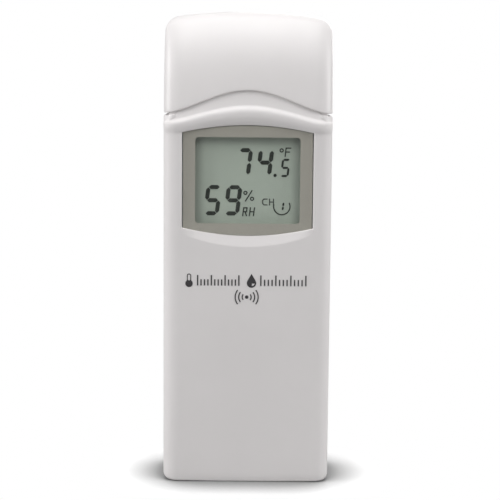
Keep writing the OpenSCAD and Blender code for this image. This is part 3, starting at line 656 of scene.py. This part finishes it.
def foot_point(x, y, nx, ny, turn):
    """A point of the rounded foot at an angle: its inset and height, and those of the point inside it."""
    r = 0.6 + 1.2 * abs(nx) ** 1.5
    d = r * (1 - math.sin(turn)) + seam(y, nx) * math.sin(turn)
    z = r * (1 - math.cos(turn)) + 0.12 * smooth(6, 19.5, abs(x)) * smooth(-2, -7, y)
    return d, z, max(d + WALL * math.sin(turn), WALL), max(z, WALL)


def plain_point(x, y, nx, ny, z):
    d = crest_relief(x, z, ny) + seam(y, nx)
    if abs(nx) < 0.5:
        d += scoop_relief(x, z) + window_edge(x, z)
    return d, z, WALL, z


FACE_END, ROUND_END, STEP_END = 0.45, 0.7, 0.82  # shares of the way up beside the hood


def upper_point(x, y, nx, ny, s):
    """A point over the ridge, s of the way up. At the middle the brow goes up behind the hood. Beside it the
    face goes up, rounds over, steps in and goes up to the neck."""
    low = ridge_at(x) + RIDGE_TOP
    if abs(x) < CORNER_X:
        z = low + s * (rim_at(x) + 1.2 - low)
        return crest_relief(x, z, ny), z, WALL * 1.4, z - 0.8
    near = smooth(PARTING_Y - 0.2, PARTING_Y - 4, y)
    top = shoulder_at(x) + 0.2 * near
    r = 0.25 + (0.2 * smooth(CORNER_X, 19.3, abs(x)) - 0.15) * near
    start = top - r
    z = low + (start - low) * min(s / FACE_END, 1)
    d = crest_relief(x, z, ny) + seam(y, nx)
    if FACE_END <= s < ROUND_END:
        a = math.radians(90 * (s - FACE_END) / (ROUND_END - FACE_END))
        z = start + r * math.sin(a)
        d += r * (1 - math.cos(a))
    elif s >= ROUND_END:
        behind = smooth(PARTING_Y - 0.3, PARTING_Y - 6, y)
        deep = max(3.0 - 1.7 * behind, d + r + 0.2)
        d += r + (deep - d - r) * min((s - ROUND_END) / (STEP_END - ROUND_END), 1)
        z = top + (0.05 + (rim_at(x) + 0.8 - top) * behind) * max((s - STEP_END) / (1 - STEP_END), 0)
    return d, z, max(d, WALL), min(z, top - 1.5)


def front_skin():
    """The front half's outer points, faces and inner points, row by row from the foot to the neck."""
    cols = front_columns()
    rows = []

    def add_row(point, value_at, in_window=False):
        outer, inner = [], []
        for x, y, nx, ny in cols:
            d, z, deep, inner_z = point(x, y, nx, ny, value_at(x))
            outer.append((x - nx * d, y - ny * d, z))
            inner.append((x - nx * deep, y - ny * deep, inner_z))
        rows.append((outer, inner, in_window))

    def add_between(low, high, steps, last, in_window=False):
        for k in range(1, last + 1):
            add_row(plain_point, lambda x: low(x) + (high(x) - low(x)) * k / steps, in_window)

    def lip(x):
        return min(1, (window_bottom(x) - scoop_at(x)) / 2.2)

    for turn in range(0, 90, 10):
        add_row(foot_point, lambda x: math.radians(turn))
    add_row(plain_point, lambda x: FOOT_TOP)
    add_between(lambda x: FOOT_TOP, lambda x: scoop_at(x) - 0.8, 40, 40)
    for e in (-0.6, -0.45, -0.3, -0.18, -0.08, 0.0, 0.08, 0.18, 0.3, 0.45, 0.6):
        add_row(plain_point, lambda x: scoop_at(x) + e * lip(x))
    add_between(lambda x: scoop_at(x) + 0.6 * lip(x), lambda x: window_bottom(x) - EASE, 6, 5)
    for e in EASE_STEPS:
        add_row(plain_point, lambda x: window_bottom(x) - e)
    add_between(window_bottom, window_top, 26, 25, True)
    for e in reversed(EASE_STEPS):
        add_row(plain_point, lambda x: window_top(x) + e)
    add_between(lambda x: window_top(x) + EASE, lambda x: ridge_at(x) - 0.9, 10, 10)
    for e in spread(-0.9, RIDGE_TOP, 9)[1:]:
        add_row(plain_point, lambda x: ridge_at(x) + e)
    for s in spread(0, 1, 26)[1:]:
        add_row(upper_point, lambda x: s)

    m = len(cols)
    within = [abs(col[0]) <= WIN_HALF + 1e-6 for col in cols]
    faces = [tuple(reversed(range(m)))]
    for i, (low, high) in enumerate(zip(rows, rows[1:])):
        for j in range(m - 1):
            if not ((low[2] or high[2]) and within[j] and within[j + 1]):
                a = i * m + j
                faces.append((a, a + 1, a + 1 + m, a + m))
    used = sorted({i for f in faces for i in f})
    at = {old: new for new, old in enumerate(used)}
    outer, inner = ([p for row in rows for p in row[side]] for side in (0, 1))
    return [outer[i] for i in used], [tuple(at[i] for i in f) for f in faces], [inner[i] for i in used]


piece("front_shell", *thicken(*front_skin()), case_white, "case_plastic", angle=38, stands_for=["front_cover"])

# ---------- hood

HOOD_Y = RIDGE_Y + 0.38
HOOD_RX, HOOD_RY, HOOD_POWER = 5.4, 3.4, 2.3
CORNER_SHARE = 0.46  # the most of the hood's depth that a corner takes
CROWN_R = 130.0
LEAN_TOP = CASE_H - 2
TURN_D = 2.6  # the drop below the crown where the lean gives way to the top's curve
SIDE_R, BACK_R, RIM_R = 3.3, 3.6, 0.3
RIM_STEPS = [0, 0.02, 0.06, 0.12, 0.2, 0.3]
ACROSS, CORNER, DEEP = 35, 16, 13  # points of a ring along the front, round a corner and along a side


def crown_at(x):
    return CASE_H - (CROWN_R - math.sqrt(CROWN_R ** 2 - x * x))


def lean(z):
    """How far the front leans back at the height z."""
    t = max((z - RIM_Z) / (LEAN_TOP - RIM_Z), 0.0)
    return 3.6 * t + 5.1 * t ** 4


def front_inset(d):
    """How far the hood's front lies behind its rim line, by the drop below the crown."""
    if d >= TURN_D:
        return lean(CASE_H - d)
    y0 = lean(CASE_H - TURN_D)
    slope = (lean(CASE_H - TURN_D - 0.01) - y0) / -0.01
    angle = math.atan(1 / slope)  # of the surface from horizontal
    r = TURN_D / (1 - math.cos(angle))
    a = math.acos(max(min((r - d) / r, 1), -1)) if d < 2 * r else angle
    return y0 + r * (math.sin(angle) - math.sin(a))


def hood_plan():
    """The hood's plan, from the front's left end round by the right side and the back. Each point has its x at
    the rim, its place along the side (0 front, 1 back), its inset in y and its outward normal."""
    turns = [0, 6, 12, 19, 26, 33, 40, 47, 54, 61, 68, 74, 79, 83, 87, 90]
    quarter = [rounded_corner(HOOD_RX, HOOD_RY, HOOD_POWER, a) for a in turns]
    xs = spread(HOOD_RX - HALF_W, HALF_W - HOOD_RX, ACROSS + 1)[1:-1]
    right = [(HALF_W - dx, 0, dy, nx, -ny) for dx, dy, nx, ny in reversed(quarter)]
    right += [(HALF_W, q, 0, 1, 0) for q in spread(0, 1, DEEP + 1)[1:-1]]
    right += [(HALF_W - dx, 1, dy, nx, ny) for dx, dy, nx, ny in quarter]
    left = [(-x, q, dy, -nx, ny) for x, q, dy, nx, ny in reversed(right)]
    return [(x, 0, 0, 0, -1) for x in xs] + right + [(x, 1, 0, 0, 1) for x in reversed(xs)] + left


HOOD_PLAN = hood_plan()
RING = len(HOOD_PLAN)


def hood_ring(drop, rim=0.0):
    """One level of the hood. drop(x, front) is its distance below the crown, and rim an inset at the rim."""
    ring = []
    for side_x, q, dy, nx, ny in HOOD_PLAN:
        d = drop(side_x, q == 0)
        inset, limit = fillet(d, SIDE_R), HALF_W - HOOD_RX
        x = abs(side_x)
        x = math.copysign(x - inset if x > limit else x * (limit - inset) / limit, side_x)
        y0 = HOOD_Y + front_inset(d)
        y1 = BACK_Y - fillet(d, BACK_R)
        turn = ((1 / HOOD_RY) ** 4 + (1 / (CORNER_SHARE * (y1 - y0))) ** 4) ** -0.25
        if q == 0:
            y = y0 + dy * turn / HOOD_RY
        elif q == 1:
            y = y1 - dy * turn / HOOD_RY
        else:
            y = y0 + turn + (y1 - y0 - 2 * turn) * q
        y += 0.25 * smooth(6, 17, abs(x)) * (1 - q)
        ring.append((x - nx * rim, y - ny * rim, crown_at(x) - d))
    return ring


def hood_skin():
    """The hood's outer points and faces, in rings from the rim up, and then strips across the crown."""
    def rim_drop(x, front):
        return crown_at(x) - (rim_at(x) if front else RIM_Z)

    sides_top, steps = 12, 12
    rings = [hood_ring(lambda x, front: rim_drop(x, front) - e, fillet(e, RIM_R)) for e in RIM_STEPS]
    for k in range(1, steps):
        rings.append(hood_ring(lambda x, front: rim_drop(x, front) - RIM_R
                               + (sides_top - rim_drop(x, front) + RIM_R) * k / steps))
    drops = (sides_top, 11, 10, 9, 8, 7, 6.2, 5.5, 4.8, 4.2, 3.6, 3.1, 2.6, 2.2, 1.8, 1.45, 1.15, 0.9, 0.68,
             0.5, 0.34, 0.22, 0.12, 0.05, 0.012, 0)
    rings += [hood_ring(lambda x, front: d) for d in drops]
    verts = [p for ring in rings for p in ring]
    faces = bands(len(rings), RING)
    last = list(range(len(verts) - RING, len(verts)))
    front = last[-CORNER:] + last[:ACROSS + CORNER]
    right = last[ACROSS + CORNER:][:DEEP]
    back = last[ACROSS + CORNER + DEEP:][:ACROSS + 2 * CORNER][::-1]
    left = last[-CORNER - DEEP:-CORNER]
    grid = [front]
    for r in range(1, DEEP + 1):
        line = [left[DEEP - r]]
        for a, b in zip(front[1:-1], back[1:-1]):
            x, y = [verts[a][i] + (verts[b][i] - verts[a][i]) * r / (DEEP + 1) for i in (0, 1)]
            line.append(len(verts))
            verts.append((x, y, crown_at(x)))
        grid.append(line + [right[r - 1]])
    for low, high in zip(grid, grid[1:] + [back]):
        faces += [(low[i], low[i + 1], high[i + 1], high[i]) for i in range(len(low) - 1)]
    return verts, faces


verts, faces = hood_skin()
inner = []
for i, (p, n) in enumerate(zip(verts, vertex_normals(verts, faces))):
    thick, up = 0.6, i / (RING * len(RIM_STEPS))
    if up < 1:
        n = (*HOOD_PLAN[i % RING][3:], 0)
    else:
        thick += smooth(0, 16, up)
    inner.append(tuple(p[k] - n[k] * thick for k in range(3)))
hood_shell = piece("hood_shell", *thicken(verts, faces, inner), hood_white, "hood_plastic", angle=40,
                   stands_for=["hood"])

KEY_R, SLOT_R, KEY_Z = 4, 2.2, RIM_Z + 9.7
gap = math.degrees(math.asin(SLOT_R / KEY_R))
keyhole = arc(0, KEY_Z, KEY_R, 90 + gap, 450 - gap, 40) + arc(0, KEY_Z + 5, SLOT_R, 0, 180, 20)
cut(hood_shell, prism(keyhole, BACK_Y - 3, BACK_Y + 1),
    *[prism(arc(x, RIM_Z + 2.8, 1.9, 0, 360, 40)[:-1], BACK_Y - 1.2, BACK_Y + 1) for x in (-14, 14)])
shade(hood_shell.data, 40)

# ---------- neck, with the vents under the hood

NECK_HALF, NECK_Y, NECK_WALL = 18.7, -6.4, 1.4
line = [(-NECK_HALF, PARTING_Y)] + [(h - NECK_HALF, e + NECK_Y) for e, h in roundover(2, 8)]
line += [(-x, y) for x, y in reversed(line)]
n = len(line)
levels = [(0.0, 93.6), (0.0, 109.5), (0.06, 109.75), (0.2, 109.92), (0.45, 110.0)]  # inset and height
verts = [(x * (1 - e / NECK_HALF), PARTING_Y + (y - PARTING_Y) * (1 - e / 5), z)
         for e, z in levels for x, y in line]
faces = [(i + j, i + j + 1, i + n + j + 1, i + n + j)
         for i in range(0, len(verts) - n, n) for j in range(n - 1)]
faces.append(tuple(range(len(verts) - n, len(verts))))
inner = [(x * (1 - NECK_WALL / NECK_HALF), PARTING_Y + (y - PARTING_Y) * (1 - NECK_WALL / 4.9), min(z, 108.6))
         for x, y, z in verts]
neck = piece("vented_neck", *thicken(verts, faces, inner), case_white, "case_plastic", angle=30)
cut(neck, *[prism(round_rect(x - 0.8, 98, x + 0.8, 107, 0.5, 5), -8, -4) for x in (-12, -8, -4, 4, 8, 12)])
settle(neck, 30)

# ---------- battery door


def arrow(e):
    """The door's arrow, pointing down, grown by e."""
    top, tip, half, r = 63.0 + e, 59.0 - e * 1.6, 2.6 + e * 1.7, 0.3
    return (arc(0, tip + 2.0 * r, r, 232, 308, 5) + arc(half - 2.2 * r, top - r, r, -52, 90, 5)
            + arc(-half + 2.2 * r, top - r, r, 90, 232, 5))


def grip(e):
    return round_rect(-7 - e, 66.5 - e, 7 + e, 75.5 + e, 2 + e, 8)


IN_Y = BACK_Y - 1.6  # the door's inner side
RAIL_Y = (IN_Y + 0.02, IN_Y + 0.8)
battery_cover = piece("battery_cover", *slab(-17, 0.4, 17, 80, 1.2, IN_Y, BACK_Y, back=0.4), door_white,
                      "case_plastic", body=DOOR, angle=32, stands_for=["battery_door"])
cut(battery_cover, pocket(grip, BACK_Y - 0.7, BACK_Y), pocket(arrow, BACK_Y - 0.3, BACK_Y, 0.12, 0.08))
settle(battery_cover, 32)
runners = joined(
    slab(-18.35, 1.4, -16.9, 79, 0.15, *RAIL_Y, 0.12, 0.12, 3, 3),
    slab(16.9, 1.4, 18.35, 79, 0.15, *RAIL_Y, 0.12, 0.12, 3, 3),
    slab(-6, 79.5, 6, 82.2, 0.5, *RAIL_Y, 0.12, 0.2, 4, 4),
)
settle(piece("door_runners", *runners, door_white, "case_plastic", body=DOOR, angle=50), 50)
bars = joined(*[slab(-6, z - 0.42, 6, z + 0.42, 0.4, BACK_Y - 0.75, BACK_Y - 0.08, back=0.35, turn=5, n=5)
                for z in spread(67.85, 74.15, 3)])
settle(piece("grip_bars", *bars, door_white, "case_plastic", body=DOOR, angle=50), 50)

# ---------- cells, springs, wires and screws


def cell(side, up):
    """A cell's can and its sleeve. The outlines are radii and heights from its negative end."""
    node, sleeve = "battery_" + side, "battery_%s_sleeve" % side
    lo, hi = node_box(node)
    x, y = (lo.x + hi.x) / 2, (lo.y + hi.y) / 2
    body = hi.z - lo.z - 1.2
    can = [(0, 0.14), (3.0, 0.14), (3.3, 0.02), (3.6, 0), (5.6, 0), (5.9, 0.05), (6.15, 0.2), (6.6, 0.25),
           (6.85, 0.4), (6.93, 0.7), (6.93, body - 0.7), (6.85, body - 0.35), (6.55, body - 0.2),
           (6.1, body - 0.2), (5.95, body - 0.32), (5.85, body - 0.8), (5.6, body - 1.0), (4.2, body - 1.0),
           (3.9, body - 0.9), (3.3, body - 0.25), (3.0, body - 0.12), (2.78, body), (2.75, body + 0.25),
           (2.75, body + 0.95), (2.66, body + 1.12), (2.45, body + 1.2), (0, body + 1.2)]
    wrap = [(6.0, 0.06), (6.2, 0.02), (6.65, 0.06), (6.95, 0.2), (7.07, 0.42), (7.1, 0.75), (7.1, body - 0.75),
            (7.07, body - 0.42), (6.95, body - 0.18), (6.65, body - 0.04), (6.2, body), (5.98, body - 0.03),
            (5.97, body - 0.1), (6.5, body - 0.14), (6.85, body - 0.3), (6.96, body - 0.7), (6.96, 0.7),
            (6.85, 0.32), (6.5, 0.16), (6.02, 0.14)]
    label = cell_label("cell_label_" + side, lo.z, hi.z, up)
    for name, outline, mat, slot, stands_for, angle in (
        ("cell_can_", can, cell_steel, "cell_metal", node, 40),
        ("cell_wrap_", wrap, label, "cell_label", sleeve, 50),
    ):
        v, f = lathe(outline, 96, closed=outline is wrap)
        v = [(x + a, y + b, lo.z + c) if up else (x + a, y - b, hi.z - c) for a, b, c in v]
        piece(name + side, v, f, mat, slot, angle=angle, stands_for=[stands_for])


cell("left", True)
cell("right", False)

SPRING_WIRE = 0.4
SPRING_TURNS = 4


def spring(side, up):
    """A conical spring, wide at its plate and narrow at its cell."""
    lo, hi = node_box("battery_" + side)
    s_lo, s_hi = node_box("spring_" + side)
    x, y = (lo.x + hi.x) / 2, (lo.y + hi.y) / 2
    tall = s_hi.z - s_lo.z - 2 * SPRING_WIRE
    path = []
    for t in spread(0, 1, 44 * SPRING_TURNS):
        a, r = 2 * math.pi * SPRING_TURNS * t, 3.7 - 1.2 * t
        px, py, pz = r * math.cos(a), r * math.sin(a), SPRING_WIRE + tall * t
        path.append((x + px, y + py, s_lo.z + pz) if up else (x + px, y - py, s_hi.z - pz))
    wire = tube(path, SPRING_WIRE, 14)
    piece("cell_spring_" + side, *wire, spring_steel, "spring_steel", angle=60, stands_for=["spring_" + side])


spring("left", True)
spring("right", False)

BOARD_BACK = node_box("main_board")[1].y
LEAD = [(11.5, 1, 65.4), (11.5, 1, 66.2), (11.5, 1.1, 67.2), (11.7, 1.5, 68.2), (12.1, 1.9, 69.2),
        (12.6, 2, 70.2), (13.1, 1.7, 71.1), (13.5, 1.1, 71.7), (13.7, 0.3, 72.1), (13.8, -0.6, 72.2),
        (13.8, -1.4, 72.2), (13.8, BOARD_BACK, 72.2)]
for end, sign, mat, slot in (("positive", -1, lead_red, "lead_red"),
                             ("negative", 1, lead_black, "lead_black")):
    wire = tube(eased([(sign * x, y, z) for x, y, z in LEAD]), 0.6, 14)
    piece("board_lead_" + end, *wire, mat, slot, angle=60, stands_for=["lead_" + end])

COIL_X, COIL_Y, COIL_Z, COIL_R, COIL_TURNS, COIL_RISE = -12, -0.6, 98.1, 2.6, 7, 1.25
foot_x, foot_z = COIL_X + COIL_R, COIL_Z - 7
foot = [(BOARD_BACK, foot_z), (COIL_Y - 0.7, foot_z), (COIL_Y - 0.2, foot_z + 0.2), (COIL_Y, foot_z + 0.8),
        (COIL_Y, COIL_Z - 1), (COIL_Y + 0.1, COIL_Z - 0.35), (COIL_Y + 0.5, COIL_Z - 0.02)]
foot = eased([(foot_x, y, z) for y, z in foot], 3)
turns = [(COIL_X + COIL_R * math.cos(a), COIL_Y + COIL_R * math.sin(a), COIL_Z + COIL_RISE * a / (2 * math.pi))
         for a in spread(0, 2 * math.pi * COIL_TURNS, 36 * COIL_TURNS)][9:]
coil = tube([tuple(p) for p in foot] + turns, 0.4, 12)
piece("antenna_winding", *coil, copper, "antenna_copper", angle=60, stands_for=["antenna_coil"])


def screws(node, head_r, head_t):
    """The node's pair of screws along Y, each with a domed head, a cross recess and a ringed shank."""
    lo, hi = node_box(node)
    seat, tip, x_at, z = hi.y - head_t, lo.y, hi.x - head_r, (lo.z + hi.z) / 2
    pitch, root_r, ring_r = 0.6, 0.66, 0.79
    outline = [(0, tip), (0.3, tip + 0.1), (root_r, tip + pitch)]
    h = tip + pitch
    while h < seat - 1.0:
        outline += [(ring_r, h + pitch / 2), (root_r, h + pitch)]
        h += pitch
    outline += [(ring_r, h + 0.2), (ring_r, seat), (head_r - 0.08, seat), (head_r, seat + 0.08),
                (head_r, seat + head_t * 0.4)]
    for a in spread(10, 90, 7):
        outline.append((head_r * math.cos(math.radians(a)) if a < 90 else 0,
                        seat + head_t * (0.4 + 0.6 * math.sin(math.radians(a)))))
    v, f = lathe(outline, 40)
    for side, x in (("left", -x_at), ("right", x_at)):
        screw = piece("%s_%s" % (node.rstrip("s"), side), [(x + a, c, z - b) for a, b, c in v], f, screw_steel,
                      "screw_steel", angle=40, stands_for=[node] if side == "left" else ())
        cross = []
        for wide, tall in ((0.62, 0.14), (0.14, 0.62)):
            levels = []
            for k, y in ((0.75, hi.y - head_t * 0.62), (1.0, hi.y + 0.1)):
                a, b = head_r * k * wide, head_r * k * tall
                levels.append(([(x - a, z - b), (x + a, z - b), (x + a, z + b), (x - a, z + b)], y))
            cross.append(loft(levels))
        cut(screw, *cross)
        settle(screw, 40)


screws("case_screws", 1.7, 1.4)
screws("board_screws", 1.5, 1.0)
screws("hood_screws", 1.7, 1.0)

# ---------- window: printed border and ledge


def window_outline(inset, n):
    """The window's outline, anticlockwise from the bottom left corner: x, z."""
    half = WIN_HALF - inset
    return ([(x, window_bottom(x) + inset) for x in spread(-half, half, n)]
            + [(x, window_top(x) - inset) for x in spread(half, -half, n)])


def view_outline(grow):
    """The clear view of the display, grown on every side."""
    return round_rect(-13.35 - grow, 67.8 - grow, 13.35 + grow, 89.8 + grow, 0.9, 10)


TURNS = sorted({math.atan2(z - WIN_MID, x) % (2 * math.pi) for x, z in
                round_rect(-13.55, 67.6, 13.55, 90.0, 0.9, 10) + window_outline(-1.0, 20)})


def at_turns(points):
    """An outline's points at the angles in TURNS about the window's centre, so that two outlines match."""
    p = np.array(points)
    ang = np.unwrap(np.arctan2(p[:, 1] - WIN_MID, p[:, 0]))
    ang = np.concatenate([ang - 2 * np.pi, ang, ang + 2 * np.pi])
    p = np.concatenate([p, p, p])
    return [(float(np.interp(a, ang, p[:, 0])), float(np.interp(a, ang, p[:, 1]))) for a in TURNS]


lens_lo, lens_hi = node_box("display_window")
edge = [(x, z - 0.14 * smooth(WIN_MID, WIN_MID + 8, z)) for x, z in at_turns(window_outline(0.0, 60))]
border = plate_with_hole(edge, at_turns(view_outline(0)), lens_lo.y + 0.03, lens_lo.y + 0.08)
piece("window_print", *border, mask_ink, "mask_ink", angle=30, stands_for=["window_mask"])
ledge = plate_with_hole(at_turns(window_outline(-0.15, 60)), at_turns(view_outline(0.3)),
                        lens_hi.y + 0.1, lens_hi.y + 1.1)
piece("window_ledge", *ledge, frame_white, "case_plastic", angle=30)

# ---------- finishes of the CAD nodes that stay

SHARP = math.radians(32)


def smooth_group():
    """A modifier group that shades smooth but keeps edges sharper than SHARP."""
    tree = bpy.data.node_groups.new("smooth_by_angle", "GeometryNodeTree")
    tree.is_modifier = True
    for side in ("INPUT", "OUTPUT"):
        tree.interface.new_socket("Geometry", in_out=side, socket_type="NodeSocketGeometry")
    g = Graph(tree)
    angle = g.add("GeometryNodeInputMeshEdgeAngle").outputs["Unsigned Angle"]
    near = g.add("FunctionNodeCompare", angle, SHARP, operation="LESS_EQUAL")
    faces = g.add("GeometryNodeSetShadeSmooth", g.add("NodeGroupInput").outputs[0])
    edges = g.add("GeometryNodeSetShadeSmooth", faces.outputs[0], domain="EDGE")
    g.link(near.outputs[0], edges.inputs["Shade Smooth"])
    g.add("NodeGroupOutput", edges.outputs[0])
    return tree


SMOOTH = smooth_group()


def finish_node(name, mat, bevel=0.0):
    """Gives a CAD node its material, smooth shading and, where it has flat faces, eased edges."""
    obj = NODES[name]
    obj.data.materials.clear()
    obj.data.materials.append(mat)
    for p in obj.data.polygons:
        p.material_index = 0
    weld = obj.modifiers.new("weld", "WELD")
    weld.merge_threshold = 0.002 * MM
    if bevel:
        flat = obj.modifiers.new("flat", "DECIMATE")
        flat.decimate_type = "DISSOLVE"
        flat.angle_limit = math.radians(0.6)
        b = obj.modifiers.new("bevel", "BEVEL")
        b.width = bevel * MM
        b.segments = 2
        b.limit_method = "ANGLE"
        b.angle_limit = SHARP
        b.use_clamp_overlap = False
        b.miter_outer = "MITER_ARC"
    m = obj.modifiers.new("smooth", "NODES")
    m.node_group = SMOOTH
    if bevel:
        weigh(obj)


for mat, edge, *names in (
    (rear_white, 0.2, "rear_housing"), (gasket_grey, 0.28, "door_gasket"),
    (tinned, 0.08, "contact_bridge", "contact_positive", "contact_negative"),
    (switch_red, 0.1, "dip_switch_body"),
    (slider_white, 0.1, "dip_slider_1", "dip_slider_2", "dip_slider_3", "dip_slider_4"),
    (sensor_cream, 0.1, "humidity_sensor"), (ceramic, 0.08, "chip_parts"), (zebra_grey, 0.12, "zebra_strips"),
    (window_clear, 0, "display_window"), (icon_ink, 0, "front_icons"), (lcd_glass, 0, "lcd_panel"),
    (segment_ink, 0, "lcd_segments"), (frame_white, 0, "lcd_frame"), (laminate, 0, "main_board"),
    (epoxy_black, 0, "controller_chip", "thermistor"), (tinned, 0, "clock_crystal", "radio_resonator"),
    (cap_blue, 0, "smoothing_capacitor"), (radio_laminate, 0, "radio_board"), (gold_pin, 0, "radio_pins"),
):
    for name in names:
        finish_node(name, mat, edge)

# ---------- studio

WHITE_LIGHT = (1, 1, 1, 1)
FLOOR = 30 / MM  # half its width
SHADOW_REACH = 15 * MM
SHADOW_DARKEST = 0.3


def floor_material():
    """Pale paper with a painted contact shadow, darkened near the case by an ambient occlusion node, and a
    faint painted glow of its own that fades in that shadow. Away from the shadow the camera sees through to the
    backdrop, which is as white, so that a door slid below it shows. Other rays meet a grey sheet that lets some
    light through."""
    s = Shader("floor_paper")
    near = s.fill(s.add("ShaderNodeAmbientOcclusion", samples=16), Distance=SHADOW_REACH)
    open_sky = near.outputs["AO"]
    # painted contact shadow: ambient occlusion squared, never darker than SHADOW_DARKEST
    shadow = s.maths("MAXIMUM", s.maths("POWER", open_sky, 2.0), SHADOW_DARKEST)
    tint = s.mix(s.noise(40, detail=2), (0.975, 0.975, 0.975), (0.985, 0.985, 0.985))
    paper = s.shader("BsdfDiffuse", s.mix(shadow, (0, 0, 0), tint))
    # painted glow: the paper gives off a little light, less inside the painted contact shadow
    painted_glow = s.shader("Emission", WHITE_LIGHT, s.maths("MULTIPLY", shadow, 0.035))
    bright = s.shader("AddShader", paper, painted_glow)
    sheet = s.shader("AddShader", s.shader("BsdfDiffuse", (0.38, 0.38, 0.38, 1)),
                     s.shader("BsdfTranslucent", (0.5, 0.5, 0.5, 1)))
    seen = s.shader("MixShader", s.ramp(open_sky, 0.97, 0.998, 0, 1), bright, s.shader("BsdfTransparent"))
    by_camera = s.add("ShaderNodeLightPath").outputs["Is Camera Ray"]
    s.surface(s.shader("MixShader", by_camera, sheet, seen))
    return s.mat


corners = ((-FLOOR, -FLOOR, 0), (FLOOR, -FLOOR, 0), (FLOOR, FLOOR, 0), (-FLOOR, FLOOR, 0))
floor = make_object("floor", corners, [(0, 1, 2, 3)])
floor.data.materials.append(floor_material())
floor.visible_shadow = False

world = bpy.data.worlds.new("studio")
SCENE.world = world
world.use_nodes = True
w = Graph(world.node_tree)
direction = w.add("ShaderNodeSeparateXYZ", w.add("ShaderNodeTexCoord").outputs["Generated"])
from_above = w.maths("GREATER_THAN", direction.outputs["Z"], 0.0)
sky = w.shader("Background", WHITE_LIGHT, w.maths("MULTIPLY", from_above, 0.295))
backdrop = w.shader("Background", WHITE_LIGHT, 1.0)
by_camera = w.add("ShaderNodeLightPath").outputs["Is Camera Ray"]
w.add("ShaderNodeOutputWorld", w.shader("MixShader", by_camera, sky, backdrop))


def add_light(name, kind, power, direction):
    """A light that shines from the direction."""
    light = bpy.data.lights.new(name, kind)
    light.energy = power
    obj = bpy.data.objects.new(name, light)
    SCENE.collection.objects.link(obj)
    obj.rotation_euler = (-Vector(direction)).to_track_quat("-Z", "Y").to_euler()
    return obj


def sun(name, direction, power):
    add_light(name, "SUN", power, direction).data.angle = math.radians(45)


def softbox(name, at, side, power):
    """A square light at a place in metres, aimed at the case's middle."""
    obj = add_light(name, "AREA", power, Vector(at) - Vector((0, 0, 0.06)))
    obj.location = at
    obj.data.size = side


sun("overhead", (0, 0, 1), 1.25)
sun("front_high", (0, -0.577, 1), 0.81)
sun("back_high", (0, 0.7, 1), 0.25)
softbox("left_fill", (-0.72, -0.16, 0.33), 0.4, 2.95)
softbox("right_fill", (0.73, -0.12, 0.31), 0.4, 2.2)
softbox("back_fill", (0.25, 0.9, 0.3), 0.5, 3.2)

SCENE.view_settings.view_transform = "Standard"
SCENE.view_settings.look = "None"

# ---------- camera

AIM = Vector((0.75, 0, 59.69)) * MM
DISTANCE = 394.8 * MM
TILT = math.radians(8)  # below level
ROLL = math.radians(0.498)

lens = bpy.data.cameras.new("camera")
lens.lens = 108.43
lens.sensor_width = 36
lens.clip_start = 0.01
lens.clip_end = 100
camera = bpy.data.objects.new("camera", lens)
SCENE.collection.objects.link(camera)
forward = Vector((0, math.cos(TILT), -math.sin(TILT)))
turn = forward.to_track_quat("-Z", "Y").to_matrix().to_4x4() @ Matrix.Rotation(ROLL, 4, "Z")
camera.matrix_world = Matrix.Translation(AIM - forward * DISTANCE) @ turn
SCENE.camera = camera
